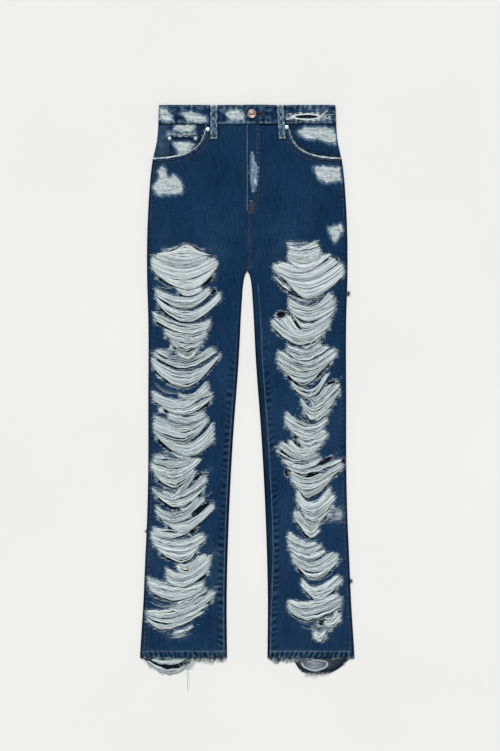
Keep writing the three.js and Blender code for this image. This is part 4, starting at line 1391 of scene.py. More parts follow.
def bandMasks(x, down):
    blotch, speck = uneven(x, down, "bandBlotch"), uneven(x, down, "bandSpeck")
    seam = hill(down - cut["band"] + band["seam"], 4) + hill(down - band["seam"], 4)
    pull = seam * bandWave(x, down) * (0.55 + 0.6 * uneven(x, down, "bandPull"))
    middle = 1 - smooth(56, 66, np.abs(x - 2))
    lowerEdge = middle * hill(down - cut["band"] + 1.2, 1.4)
    marks = patchWear("band", x, down)
    ring = slitRing(x, down)
    slit = hill(ring - 1.7, 0.8)
    return weigh(
        bandLook, rim=marks["rim"], lowerEdge=lowerEdge, speckledEdge=lowerEdge * speck,
        worn=np.maximum(marks["bare"], 0.9 * hill(ring - 1.25, 0.25)), slit=slit,
        speckledSlit=slit * speck, puckerTop=unit(pull), puckerFoot=unit(-pull),
        paleBlotch=unit(blotch + 0.6 * speck), darkBlotch=unit(-blotch - 0.6 * speck),
        edge=hill(down, 1.5) + hill(down - cut["band"], 1.5), haze=haze(bandHazes, x, down),
        hole=hill(down - button["down"], 1.6) * smooth(8, 12, x) * (1 - smooth(29, 33, x)),
        under=smooth(-1.6, -0.2, down - cut["band"]) * mix(1, 0.4, middle),
        byLoops=besideLoops(x, down))


def backBandMasks(x, down):
    edge = hill(down, 2) + hill(down - cut["band"], 2)
    return weigh(backBandLook, edge=edge, pucker=bandWave(x, down) * edge)


def makeBand(name, node, start, end, grid, faceDown=False):
    columns, rows = grid

    def plan(column, row):
        down = mix(0.0, cut["band"] + (0 if faceDown else 0.5), row / rows)
        return spread(column, columns, start(down), end(down)), down

    def height(x, down):
        if faceDown:
            return backLift(x, down) + onFloor
        edge = np.minimum(np.minimum(down + 0.8, cut["band"] + 1.6 - down), band["edge"])
        atSide = np.minimum(toSide(x, down) + 0.6, band["edge"])
        fall = 1.2 * (1 - roll(edge, band["edge"])) + 1.6 * (1 - roll(atSide, band["edge"]))
        return bandTop(x, down) - fall

    def opening(x, down):
        return (1 - slitRing(x, down)) * 6

    layCloth(name, node, grid, plan, height, cloth["band"], backBandMasks if faceDown else bandMasks,
             opening if name == "band_left" else None, faceDown)


def rightEdge(down):
    return -sideX(down)


makeFly()
makeBand("band_back", "waistband_back", rightEdge, sideX, grids["bandBack"], faceDown=True)
makeBand("band_right", "waistband_right", rightEdge, lambda d: band["underlap"] + 0 * d, grids["band"])
makeBand("band_left", "waistband_left", lambda d: band["overlap"] + 0 * d, sideX, grids["band"])


def loopBase(x, down):
    onBand = bandTop(x, np.minimum(down, cut["band"]))
    onFront = frontTop(x, np.maximum(down, cut["band"]))
    return np.where(down > cut["band"] + band["step"], onFront, np.maximum(onBand, onFront))


loopLook = dict(
    fade=dict(plain=0.58, rim=0.425, puckeredRim=0.075, ends=0.4, blotch=0.35),
    # painted shade in the loop's middle groove and along its rolled sides
    shade=dict(middle=0.3, side=0.7, foot=0.5, blotch=-0.3),
    fray=dict(ends=0.55, rim=0.4, blotch=0.2),
)


def loopFace(x, down, middle):
    bulge = np.sin(np.pi * (down - loop["top"]) / loop["length"])
    fromEdge = loop["width"] / 2 - np.abs(x - middle)
    return (loopBase(x, down) + 2 * cloth["gap"] + loop["bulge"] * bulge + cloth["loop"]
            - 0.7 * (1 - roll(fromEdge + 0.4, 2.6)) - 0.35 * hill(x - middle, 2.2))


def makeLoop(name, node, at, lean, faceDown=False):
    columns, rows = grids["loop"]

    def plan(column, row):
        down = mix(loop["top"], loop["top"] + loop["length"], row / rows)
        return loopMiddle(at, lean, down) + (column / columns - 0.5) * loop["width"], down

    def height(x, down):
        return floorFace(x, down) if faceDown else loopFace(x, down, loopMiddle(at, lean, down))

    def masks(x, down):
        offset = np.abs(x - loopMiddle(at, lean, down))
        rim = hill(offset - 4.9, 1.3)
        return weigh(
            loopLook, rim=rim,
            puckeredRim=rim * np.sin(down * fullTurn / 8 + uneven(x, down, "loopWander")),
            ends=hill(down - loop["top"], 3) + hill(down - loop["length"], 3),
            blotch=uneven(x, down, "loopBlotch") + 0.6 * uneven(x, down, "loopCloud"),
            middle=hill(offset, 2.2), side=smooth(-0.9, 0, offset - loop["width"] / 2),
            foot=hill(down - loop["length"] + 3, 4))

    layCloth(name, node, grids["loop"], plan, height, 0.9 * cloth["loop"], masks,
             faceDown=faceDown)


for leg, (at, lean) in frontLoops.items():
    makeLoop("loop_front_" + leg, "belt_loop_front_" + leg, at, lean)
for spotName, (at, lean) in backLoops.items():
    makeLoop("loop_back_" + spotName, "belt_loop_back_" + spotName, at, lean, faceDown=True)
print("fly, waistband and belt loops laid")


# metal: profiles as radius, height, spun round, and rings of another polish as how much, radius, width

buttonProfile = (
    (0, 0), (4.2, 0), (4.2, 1.2), (7.9, 1.2), (8.4, 1.6), (8.5, 2.2), (8.3, 2.8), (7.8, 3.15), (7.2, 3.15),
    (6.7, 2.8), (6.3, 2.3), (5.7, 2.2), (5.2, 2.45), (4.7, 2.45), (4.2, 2.15), (3.0, 2.1), (2.6, 2.3),
    (2.2, 2.6), (1.2, 2.75), (0, 2.8),
)
rivetProfile = (
    (0, 0), (3.9, 0), (4.0, 0.35), (3.8, 0.75), (3.3, 1.05), (2.6, 1.15), (2.1, 1.05), (1.6, 1.2),
    (1.1, 1.5), (0.5, 1.6), (0, 1.6),
)
rivets = {
    "mouth_right": (-75.5, 47, frontTop, 0.7), "mouth_left": (75.5, 43, frontTop, 0.7),
    "coin_outer": (-149, 65, coinTop, 0.1), "coin_inner": (-99, 65, coinTop, 0.0),
}
buttonRings = ((0.35, 7.5, 1.2), (-0.3, 0, 3))
rivetRings = ((0.3, 0, 1.5), (-0.5, 2.2, 0.5))


def spunMetal(name, node, at, profile, rings, bright, material):
    bm = bmesh.new()
    x, down, z = at
    points = [bm.verts.new((radius * mm, 0, height * mm)) for radius, height in profile]
    rim = [bm.edges.new(pair) for pair in zip(points, points[1:])]
    bmesh.ops.spin(bm, geom=points + rim, cent=(0, 0, 0), axis=(0, 0, 1), angle=fullTurn, steps=40,
                   use_merge=True)
    bmesh.ops.remove_doubles(bm, verts=bm.verts[:], dist=0.002 * mm)
    bmesh.ops.recalc_face_normals(bm, faces=bm.faces[:])
    bmesh.ops.translate(bm, verts=bm.verts[:], vec=Vector(place(x, down, z)))
    for f in bm.faces:
        f.smooth = True
    mesh = bpy.data.meshes.new(name)
    bm.to_mesh(mesh)
    bm.free()
    points = np.array([v.co for v in mesh.vertices]) / mm
    fromMiddle = np.hypot(points[:, 0] - x, waistY - points[:, 1] - down)
    polish = sum(more * hill(fromMiddle - radius, width) for more, radius, width in rings)
    paint(mesh, "tone", bright + polish)
    addPiece(name, mesh, (material,), (node,))


# a place on a surface, at a height above it
def onSurface(surface, x, down, above):
    return x, down, float(surface(np.array([x], float), np.array([down], float))[0]) + above


def makeMetalPieces():
    at = onSurface(bandTop, button["x"], button["down"], 2 * cloth["gap"])
    spunMetal("waist_button", "button", at, buttonProfile, buttonRings, button["bright"], copperMetal)
    for name, (x, down, surface, bright) in rivets.items():
        at = onSurface(surface, x, down, 0.4)
        spunMetal("stud_" + name, "rivet_" + name, at, rivetProfile, rivetRings, bright, silverMetal)


makeMetalPieces()
print("button and rivets spun")


# bared weft of the rips

weft = dict(
    pitch=0.56,  # mm of hang for each thread
    fewest=7,
    points=22,
    radius=(0.44, 0.66),
    jitter=0.4,
    beyond=1.7,  # how far a thread runs past its root over the denim, on the whole
    most=8,
    round=3.2,  # the outer threads of a lock end this much sooner
    swing=(0.9, 0.45),  # how far the ends run in and out together, and how fast from thread to thread
    sink=0.5,  # a lock's upper edge lies this much under the denim's face
    tilt=(2.8, 0.35),  # and its lower edge this much higher, or this share of its height if that is less
    lastRise=1.2,  # how much higher the last lock of a rip lies
    swell=0.8,
    clumps=((4.2, 0.35), (7.5, 0.6)),  # spacing and shift of the strands in a lock
    parting=5.0,  # mm of hang for each gap that opens between strands
    gap=(2.0, 4.2),  # its usual and greatest width
    kinks=2,
    kink=(0.55, 17, 34),  # height, and the shortest and longest wave
    ripples=((7, 0.35), (19, 0.28)),  # waves along a thread, and their height
    stray=0.08,  # share of the threads that leave their lock
    worked=(330, 480),  # from the first to the second depth the rips are more and more parted
    tone=(0.8, 0.6),  # of the upper and the lower rips
)


# how strands part and cling within a lock, in mm of shift, by the distance down the hang
def clump(across, hang, draw):
    shift = blank(across, hang)
    for spacing, amount in weft["clumps"]:
        phase, turn, bend = draw.uniform(0, fullTurn, 3)
        wander = 2.2 * np.sin(across * draw.uniform(3, 7) + turn) + 1.2 * np.sin(across * 13 + bend)
        fade = 0.5 + 0.5 * np.sin(across * draw.uniform(4, 9) + hang * 0.12 + bend)
        shift += amount * fade * np.sin(hang * fullTurn / spacing + phase + wander)
    return shift


# gaps that open between strands, and bends that neighbours share
def partings(across, hang, tall, width, draw):
    shift = blank(across, hang)
    usual, most = weft["gap"]
    for _ in range(int(tall / weft["parting"])):
        middle, half = draw.uniform(0.2, 0.8), draw.uniform(0.2, 0.65)
        opened = min(draw.exponential(usual), most)
        lens = np.cos(np.clip((across - middle) / half, -1, 1) * math.pi / 2)
        away = hang - draw.uniform(0.06, 0.94) * tall - draw.normal(0, 1.6) * (across - middle)
        shift += 0.5 * opened * lens * np.sign(away) * np.exp(-np.abs(away) / 2.8)
    height, shortest, longest = weft["kink"]
    for _ in range(weft["kinks"]):
        wave = width * across * fullTurn / draw.uniform(shortest, longest)
        shift += height * np.sin(wave + hang * draw.uniform(-0.3, 0.3) + draw.uniform(0, 6))
    return shift


def lockPaths(left, right, low, draw, surface, raised=0.0):
    tall = max(low[2] - low[1], left[3] - left[1], right[3] - right[1], 3)
    width = right[0] - left[0]
    count = max(int(tall / weft["pitch"]), weft["fewest"])
    each = (count, 1)
    depth = np.linspace(0, 1, count)[:, None] + draw.normal(0, weft["jitter"] / count, each)
    hang = depth * tall
    rim = (2 * depth - 1) ** 2
    ends = np.minimum(draw.exponential(weft["beyond"], (2, count, 1)), weft["most"]) - weft["round"] * rim
    swing, rate = weft["swing"]
    ends += swing * np.sin(np.arange(count)[:, None] * rate + draw.uniform(0, 6, (2, 1, 1)))
    u = stepsAlong(weft["points"])
    share = mix(-ends[0] / width, 1 + ends[1] / width, u)
    free = np.sin(np.pi * unit(share))
    past = np.maximum(-share, share - 1) * width
    worked = smooth(*weft["worked"], low[2])
    x, down = hangAt((left, right, low), share, depth)
    gaps = partings(share, hang, tall, width, draw) * mix(0.25, 1, worked)
    shift = clump(share, hang, draw) * mix(0.6, 1, worked) + gaps
    down = down + (0.3 + 0.7 * free ** 0.7) * shift
    stray = (draw.random(each) < weft["stray"]) * 1.0
    down = down + free * (draw.normal(0, 0.3, each) + stray * draw.normal(1, 3, each))
    for (rate, height), phase in zip(weft["ripples"], draw.uniform(0, fullTurn, (2, count, 1))):
        down = down + height * free * np.sin(rate * u + phase)
    most, ofHeight = weft["tilt"]
    lift = (min(most, ofHeight * tall) + raised) * depth - weft["sink"] + weft["swell"] * (1 - rim)
    lift = lift + draw.uniform(-0.25, 0.25, each) + 0.8 * stray
    z = surface(x, down) + mix(0.2, lift, free ** 0.45) - 0.4 * unit(past / 4)
    radii = draw.uniform(*weft["radius"], each) * (1 - 0.6 * unit(past / 5))
    tones = mix(*weft["tone"], worked) + 0.18 * np.sin(0.8 * hang + 2.5 * share) + draw.normal(0, 0.18, each)
    # threads that run past their roots dip into the cloth and darken; the lock's outer threads get painted
    # shade at its rounded edges
    tones = tones - 0.8 * unit((past + 1.5) / 5) * draw.uniform(0, 1.3, each) - 0.12 * rim
    return asPoints(x, down, z), radii, tones


def makeRipThreads(leg, draw):
    locks = legLocks[leg]
    names = []
    for number in range(1, locks[-1][0] + 1):
        inRip = [lock[1:] for lock in locks if lock[0] == number]
        paths, radii, tones = joined(
            lockPaths(*lock, draw, frontTop, weft["lastRise"] * (lock is inRip[-1])) for lock in inRip)
        name = f"{leg}_{number:02d}"
        addThreads("weft_" + name, paths, radii, tones, weftMaterial, nodes=("rip_" + name,))
        names.append("weft_" + name)
    return names


def makeLooseWeft(leg, draw):
    table = np.repeat(np.array(legLoose[leg], float), 3, axis=0)
    table += draw.normal(0, 1, table.shape) * np.array((3.5, 2.4, 3.5, 2.4, 2.0))
    leftX, leftDown, rightX, rightDown, sag = np.split(table, 5, axis=1)
    each = (len(table), 1)
    u = stepsAlong(14)
    free = np.sin(np.pi * u)
    x = mix(leftX, rightX, u)
    down = mix(leftDown, rightDown, u) + sag * free + 0.5 * np.sin(14 * u + draw.uniform(0, fullTurn, each))
    z = frontTop(x, down) + mix(-0.1, draw.uniform(0.1, 0.9, each), free)
    radii = draw.uniform(0.2, 0.42, each) * mix(0.6, 1, free)
    tones = draw.normal(0.05, 0.3, each)
    addThreads("loose_weft_" + leg, asPoints(x, down, z), radii, tones, weftMaterial)


legSeeds = dict(
    right=dict(rips=101, loose=111, paleFuzz=606, blueFuzz=607),
    left=dict(rips=202, loose=222, paleFuzz=707, blueFuzz=708),
)
for leg, seeds in legSeeds.items():
    makeLooseWeft(leg, seeded(seeds["loose"]))
for leg, seeds in legSeeds.items():
    makeRipThreads(leg, seeded(seeds["rips"]))
print("rip threads hung")


# bared weft of the flat patches: rows of threads that fill an outline

surfaces = dict(band=bandTop, facing=facingTop, coin=coinTop, front=frontTop)
patchWeft = dict(
    seed=303,
    pitch=0.62,
    radius=(0.3, 0.46),
    piece=(7, 24),  # a thread shows for this long before it dips under
    dip=(-1.0, 2.2),
    rim=3.5,
    points=7,
    tone=0.7,
    soiled=0.08,  # share of the threads that are darker
)


def rowSpans(outline, down):
    points = np.array(outline, float)
    crossings = []
    for (ax, ad), (bx, bd) in zip(points, np.roll(points, -1, axis=0)):
        if (ad > down) != (bd > down):
            crossings.append(ax + (down - ad) * (bx - ax) / (bd - ad))
    crossings.sort()
    return list(zip(crossings[::2], crossings[1::2]))


def makePatch(name, onto, outline, draw):
    downs = [point[1] for point in outline]
    showing = []
    for down in np.arange(min(downs), max(downs), patchWeft["pitch"]):
        for left, right in rowSpans(outline, down + draw.normal(0, 0.8)):
            start = left + draw.normal(0.5, 1.6)
            while start < right - 2:
                end = min(start + draw.uniform(*patchWeft["piece"]), right + draw.normal(-0.5, 1.6))
                showing.append((start, max(end, start + 2), down))
                start = end + draw.uniform(*patchWeft["dip"])
    left, right, down = np.array(showing).T
    within = insideOutline(outline, (left + right) / 2, down)
    kept = draw.random(len(left)) < 0.1 + 0.8 * smooth(-1, patchWeft["rim"], within)
    left, right, down, within = (column[kept, None] for column in (left, right, down, within))
    each = left.shape
    u = stepsAlong(patchWeft["points"])
    x = mix(left, right, u)
    down = down + 0.4 * np.sin(5 * u + draw.uniform(0, fullTurn, each)) + draw.normal(0, 0.5, each) * u
    end = np.sin(np.pi * np.clip(u, 0.06, 0.94)) ** 0.5
    z = surfaces[onto](x, down) + mix(-0.25, draw.uniform(0.05, 0.4, each), end)
    radii = draw.uniform(*patchWeft["radius"], each) * mix(0.5, 1, end)
    tones = patchWeft["tone"] + 0.22 * uneven(x, down, "patchTone") + draw.normal(0, 0.16, each)
    tones -= 0.5 * (1 - end) + 0.4 * (1 - smooth(0, patchWeft["rim"], within))
    tones -= 0.7 * (draw.random(each) < patchWeft["soiled"])
    addThreads("patch_" + name, asPoints(x, down, z), radii, tones, weftMaterial)


patchDraw = seeded(patchWeft["seed"])
for name, (onto, outline) in patches.items():
    makePatch(name, onto, outline, patchDraw)
print("worn patches made")


# worn pocket mouths, and the slit in the waistband

edgeWeft = dict(seed=404, threads=6, width=0.7, points=64, radius=(0.26, 0.42), fibres=170)
slitWeft = dict(threads=9, points=40, radius=(0.3, 0.5))
# strands that cross the cloth beside the slit: x, down, to x, down
slitStrands = (
    (136, 24, 153, 11), (137, 25, 155, 12), (134, 19, 163, 28), (136, 20, 160, 29), (135, 22, 168, 18),
)


def makeMouthEdge(leg, draw):
    side, count = legSides[leg], edgeWeft["threads"]
    each = (count, 1)
    x, down = mouthLine(edgeWeft["points"], 0.08)
    slopeX, slopeDown = np.gradient(x), np.gradient(down)
    length = np.hypot(slopeX, slopeDown)
    u = stepsAlong(edgeWeft["points"])
    worn = smooth(0.25, 0.8, u)  # the edge is most worn near the side seam
    waves = draw.uniform(0, fullTurn, (3, count, 1))
    shift = np.linspace(-0.7, 1.2, count)[:, None] * edgeWeft["width"] * mix(0.5, 1.3, worn)
    shift = shift + 0.3 * np.sin(19 * u + waves[0]) + 0.25 * np.sin(47 * u + waves[1])
    atX = side * (x - shift * slopeDown / length)
    atDown = down + shift * slopeX / length
    z = frontTop(atX, atDown) + draw.uniform(-0.15, 0.35, each) + 0.3 * np.sin(31 * u + waves[2])
    radii = draw.uniform(*edgeWeft["radius"], each) * mix(0.75, 1.2, worn)
    tones = mix(0.2, 0.62, worn) + 0.3 * uneven(atX, atDown, "mouthTone") + draw.normal(0, 0.15, each)
    addThreads("mouth_edge_" + leg, asPoints(atX, atDown, z), radii, tones, weftMaterial, sides=4)
    fibres = edgeWeft["fibres"]
    pick = draw.integers(0, edgeWeft["points"], fibres)
    spotX = side * x[pick] + draw.normal(0, 1.4, fibres)
    spotDown = down[pick] + draw.normal(0.6, 1.4, fibres)
    scatter("mouth_fuzz_" + leg, spotX, spotDown, 0.1, frontTop, (1.5, 4.5),
            draw.normal(0.3, 0.3, fibres), weftMaterial, draw)


def makeBandSlit(draw):
    slitX, slitDown, width, height = band["slit"]
    count = slitWeft["threads"]
    each = (count, 1)
    turn = fullTurn * stepsAlong(slitWeft["points"])
    grow = 1 + np.linspace(0.0, 0.5, count)[:, None]
    grow = grow + 0.05 * np.sin(5 * turn + draw.uniform(0, 6, each))
    x = slitX + width / 2 * np.cos(turn) * grow * mix(1, 1.0 / grow, 0.75) * 1.03
    down = slitDown + height / 2 * np.sin(turn) * grow
    z = bandTop(x, down) + draw.uniform(0.0, 0.4, each)
    radii = draw.uniform(*slitWeft["radius"], each) * np.ones_like(turn)
    tones = draw.uniform(0.5, 0.9, count)
    addThreads("slit_edge", asPoints(x, down, z), radii, tones, weftMaterial, sides=4)
    u = stepsAlong(12)
    startX, startDown, endX, endDown = np.split(np.array(slitStrands, float), 4, axis=1)
    x = mix(startX, endX, u)
    down = mix(startDown, endDown, u) + np.sin(np.pi * u) * draw.normal(0, 0.8, startX.shape)
    radii = np.full(x.shape, 0.42)
    tones = draw.uniform(0.6, 0.9, len(x))
    z = bandTop(x, down) + 0.5
    addThreads("slit_strands", asPoints(x, down, z), radii, tones, weftMaterial, sides=4)


edgeDraw = seeded(edgeWeft["seed"])
for leg in legSides:
    makeMouthEdge(leg, edgeDraw)
makeBandSlit(edgeDraw)
print("worn edges made")


# frayed hems: stretches of fibres (from x, to x, count, shortest, longest), and locks of bared weft

hemFray = {
    "front_right": ((-197, -118, 160, 1, 4), (-114, -44, 460, 3, 16)),
    "front_left": ((44, 104, 400, 3, 14), (104, 200, 170, 1, 6)),
    "back_right": ((-196, -112, 320, 2, 9), (-112, -44, 60, 1.5, 4)),
    "back_left": ((92, 198, 140, 1, 5), (104, 160, 120, 3, 10)),
}
hemBlue = {"front_right": ((-112, -46, 260, 3, 12),), "front_left": ((44, 106, 480, 4, 13),)}
looseThread = dict(on="back_right", x=-114, length=50, strands=3)
hemLocks = (
    ((-178, 1061, -184, 1067), (-118, 1061, -124, 1069), (-148, 1062, 1074)),
    ((-191, 1067, -189, 1072), (-119, 1076, -121, 1081), (-150, 1085, 1092)),
)
# where threads are tangled, and the loop of threads that hangs from the other hem
hemTangle = dict(x=-117, down=1075, wide=6, tall=5, strands=30, curl=(2.5, 7))
hemRing = dict(
    x=130, down=1072, half=24, drop=14, lensX=135, lensHalf=18, rise=5, strands=7,
)
hemFibre = dict(seed=505, radius=(0.22, 0.4), root=dict(front=0.6, back=2.5))
hemTones = dict(pale=0.7, blue=0.1, loose=0.2)


def hemSurface(x, down):
    over = frontTop(x, np.minimum(down, cut["hem"] - 1.0))
    return mix(over, cloth["denim"] + 0.7, smooth(-1, 3, down - cut["hem"]))


def makeFray(on, stretches, draw):
    face, leg = on.split("_")
    blue = stretches is hemBlue.get(on)
    x, length = [], []
    for start, end, count, shortest, longest in stretches:
        clusters = draw.uniform(start, end, int((end - start) / 4))
        x.append(draw.choice(clusters, count) + draw.normal(0, 1.8, count))
        grown = shortest + draw.exponential((longest - shortest) / 2.4, count)
        length.append(np.minimum(grown, longest) * (0.7 + 0.3 * uneven(x[-1], 0 * x[-1], "hemLength")))
    if on == looseThread["on"]:
        x.append(looseThread["x"] + np.linspace(-1.6, 1.6, looseThread["strands"]))
        length.append(np.full(looseThread["strands"], float(looseThread["length"])))
    x, length = np.concatenate(x)[:, None], np.concatenate(length)[:, None]
    each = x.shape
    edge = cut["hem"] + (hemFall(leg, x) if face == "back" else 0 * x)
    u = stepsAlong(5)
    lean, curl = draw.normal(0, 1.5, each), draw.normal(0, 0.7, each)
    atX = x + lean * u + curl * np.sin(np.pi * 1.6 * u)
    root = hemFibre["root"][face]
    down = edge - root + (length + root) * u
    if face == "front":
        z = hemSurface(atX, down) + draw.uniform(-1.2, 0.4, each) * (1 - 0.6 * u)
    else:
        z = 0.5 + draw.uniform(0, 0.7, each) - 0.1 * u
    radii = draw.uniform(*hemFibre["radius"], each) * (1 - 0.5 * u)
    paths = asPoints(atX, down, z)
    tones = draw.normal(hemTones["blue" if blue else "pale"], 0.25, each)
    tones[length == looseThread["length"]] = hemTones["loose"]
    if blue:
        addThreads("hem_blue_" + on, paths, radii, tones, warpMaterial)
    else:
        addThreads("hem_" + on, paths, radii, tones, weftMaterial, nodes=("fray_" + on,))


def makeHemLocks(draw):
    paths, radii, tones = joined([lockPaths(*lock, draw, hemSurface) for lock in hemLocks])
    addThreads("hem_weft_right", paths, radii, tones - 0.1, weftMaterial)


def makeHemTangle(draw):
    each = (hemTangle["strands"], 1)
    u = stepsAlong(12)
    turn = draw.uniform(0, fullTurn, each) + draw.uniform(1.5, 4, each) * u
    curl = draw.uniform(*hemTangle["curl"], each) * (0.6 + 0.4 * u)
    x = hemTangle["x"] + draw.normal(0, hemTangle["wide"], each) + curl * np.cos(turn)
    down = hemTangle["down"] + draw.normal(0, hemTangle["tall"], each) + 0.8 * curl * np.sin(turn)
    z = hemSurface(x, down) + draw.uniform(0.2, 1.4, each)
    radii = draw.uniform(0.25, 0.45, each) * np.ones_like(u)
    tones = draw.normal(0.4, 0.35, each)
    addThreads("hem_tangle", asPoints(x, down, z), radii, tones, weftMaterial)


def makeHemRing(draw):
    ring = hemRing
    turn = math.pi * stepsAlong(24)
    offset = draw.normal(0, 0.7, (ring["strands"], 1)) + 0.5 * np.sin(5 * turn)
    lower = (ring["x"] + (ring["half"] + offset) * np.cos(turn),
             ring["down"] + (ring["drop"] + offset) * np.sin(turn))
    upper = (ring["lensX"] + (ring["lensHalf"] + offset) * np.cos(turn),
             ring["down"] - (ring["rise"] + offset) * np.sin(turn))
    x, down = joined((lower, upper))
    each = (len(x), 1)
    z = hemSurface(x, down) + draw.uniform(0.2, 1.2, each)
    radii = draw.uniform(0.3, 0.5, each) * np.ones_like(turn)
    tones = draw.normal(0.5, 0.25, each)
    addThreads("hem_ring", asPoints(x, down, z), radii, tones, weftMaterial)


frayDraw = seeded(hemFibre["seed"])
for on, stretches in hemFray.items():
    makeFray(on, stretches, frayDraw)
makeHemLocks(frayDraw)
makeHemTangle(frayDraw)
makeHemRing(frayDraw)
for on, stretches in hemBlue.items():
    makeFray(on, stretches, frayDraw)
print("hems frayed")


# fuzz at the ends of the locks, along their upper edges and over them

def makeFuzz(name, leg, count, material, draw):
    spots = []
    for _, *lock in legLocks[leg]:
        atEnd = draw.random(count) < 0.5
        across = np.where(atEnd, np.where(draw.random(count) < 0.5, 0.0, 1.0), draw.random(count))
        inLock = np.where(atEnd, draw.random(count), 0.0)
        atTop = draw.random(count) < 0.4
        depth = np.where(atEnd, inLock, np.where(atTop, 0.0, draw.random(count)))
        x, down = hangAt(lock, across, depth)
        rise = np.where(atEnd, 0.2, 0.4 + 2.6 * depth)
        spots.append((x + draw.normal(0, 2.6, count), down + draw.normal(0, 2.0, count), rise))
    x, down, rise = joined(spots)
    tones = draw.uniform(0.0, 0.9, len(x))
    scatter(f"{name}_{leg}", x, down, rise, frontTop, fuzz["length"], tones, material, draw)


# dark tufts that stick out at the side seams, at x, down
tufts = dict(places=((194, 361), (-192, 818), (198, 914)), seed=808, fibres=70)


def makeTufts(draw):
    spots = np.repeat(np.array(tufts["places"], float), tufts["fibres"], axis=0)
    spots += draw.normal(0, 1.6, spots.shape)
    tones = draw.uniform(-0.3, 0.3, len(spots))

    def surface(x, down):
        return blank(x, down, cloth["denim"] + 0.8)

    scatter("seam_tufts", *spots.T, 0.0, surface, (2, 5), tones, warpMaterial, draw)


makeTufts(seeded(tufts["seed"]))
for leg, seeds in legSeeds.items():
    makeFuzz("pale_fuzz", leg, fuzz["perLock"], weftMaterial, seeded(seeds["paleFuzz"]))
    makeFuzz("blue_fuzz", leg, fuzz["bluePerLock"], warpMaterial, seeded(seeds["blueFuzz"]))
print("fuzz scattered")


# topstitching

stitch = dict(length=3.0, pitch=3.9, radius=0.36, sink=0.22, rise=0.26, floorSide=0.25)
stitchSeeds = {
    "front_pale": 11, "front_tan": 12, "fly": 13, "fly_edge": 14, "band": 15, "loops": 17, "back": 18,
}


# adds stitches along a line on a surface; under turns them to the floor's side
def sew(lines, surface, lineX, lineDown, under=False):
    points = asPoints(lineX, lineDown).astype(float)
    runs = np.concatenate([[0], np.cumsum(np.hypot(*np.diff(points, axis=0).T))])
    starts = np.arange(0.5, runs[-1] - stitch["length"], stitch["pitch"])
    at = starts[:, None] + np.array([0, 0.3, 0.7, 1]) * stitch["length"]
    x, down = np.interp(at, runs, points[:, 0]), np.interp(at, runs, points[:, 1])
    rise = np.array([-stitch["sink"], stitch["rise"], stitch["rise"], -stitch["sink"]])
    lines.append(asPoints(x, down, surface(x, down) + (stitch["floorSide"] - 0.3 * rise if under else rise)))


def addStitches(name, lines, material):
    paths = np.concatenate(lines)
    draw = seeded(stitchSeeds[name])
    radii = stitch["radius"] * np.array([0.6, 1, 1, 0.6])[None] * np.ones((len(paths), 1))
    tones = unit(draw.normal(0.5, 0.22, len(paths)))
    addThreads("stitching_" + name, paths, radii, tones, material)


frontSewing = dict(
    inseamFrom=dict(right=600, left=345),
    inseamTo=1048,
    side=((6, 700, 1048), (5, 106, 240)),  # from the edge, from down, to down
    mouth=(5, 10),  # from the edge
    centre=(2.2, 6.7),  # x of the two rows below the fly
)


# across one leg where its hem is sewn
def hemAcross():
    return np.linspace(float(innerX(hemLine)) + 3, float(sideX(hemLine)) - 3, 40)


def frontStitches():
    pale, tan = [], []
    for leg, side in legSides.items():
        down = np.linspace(frontSewing["inseamFrom"][leg], frontSewing["inseamTo"], 120)
        sew(pale, frontFace, side * (innerX(down) + stitchInset(side, down)), down)
        sew(pale, frontFace, side * hemAcross(), hemLine)
        for inset, start, end in frontSewing["side"]:
            down = np.linspace(start, end, 120)
            sew(tan, frontFace, side * (sideX(down) - inset), down)
        x, down = mouthLine(60)
        normalX, normalDown = -np.gradient(down), np.gradient(x)
        length = np.hypot(normalX, normalDown)
        for inset in frontSewing["mouth"]:
            lineX, lineDown = x + inset * normalX / length, down + inset * normalDown / length
            shown = (lineDown > cut["band"] + 2) & (lineX < sideX(lineDown) - 3)
            sew(tan, frontFace, side * lineX[shown], lineDown[shown])
    for x in frontSewing["centre"]:
        sew(tan, frontFace, x, np.linspace(fly["length"] + 4, cut["crotch"] - 3, 60))
    addStitches("front_pale", pale, paleThread)
    addStitches("front_tan", tan, tanThread)


flySewing = dict(
    insets=(2.5, 7.5),
    edge=0.6,
    bar=dict(across=(3, 13, 1.1), down=(189, 212)),  # upright stitches close together
    crossBar=dict(across=(4, 15), down=(184, 185.2, 186.4)),
)


def flyFoot(x, down):
    onFly = x < flyLimit(np.minimum(down, fly["length"]))
    return np.where(onFly, flyFace(x, down), frontTop(x, down) + 0.2)


def flyStitches():
    tan, pale = [], []
    for inset in flySewing["insets"]:
        down = np.linspace(cut["band"] + 3, fly["length"] - inset, 90)
        sew(tan, flyFace, np.maximum(flyLimit(down + inset * 0.6) - inset, 0), down)
    for x in np.arange(*flySewing["bar"]["across"]):
        sew(tan, flyFoot, x, np.array(flySewing["bar"]["down"]))
    sew(pale, flyFace, flySewing["edge"], np.linspace(cut["band"] + 2, fly["length"] - 4, 80))
    for down in flySewing["crossBar"]["down"]:
        sew(pale, flyFoot, np.array(flySewing["crossBar"]["across"]), down)
    addStitches("fly", tan, tanThread)
    addStitches("fly_edge", pale, paleThread)


bandSewing = dict(
    rows=(3.2, cut["band"] - 2.6),
    runs=((-166, -72), (-56, -7), (-3, 56), (72, 166)),  # between the loops
    end=(-2.6, 4, 33),  # x of the row across the overlap's end, from down, to down
    back=164,
)
buttonhole = dict(stitches=54, seed=16, half=8, round=3.2, rise=0.35, radius=0.34)


def bandStitches():
    lines = []
    for down in bandSewing["rows"]:
        for start, end in bandSewing["runs"]:
            sew(lines, bandTop, np.linspace(start, end, 40), down)
    endX, start, end = bandSewing["end"]
    sew(lines, bandTop, endX, np.linspace(start, end, 20))
    addStitches("band", lines, paleThread)


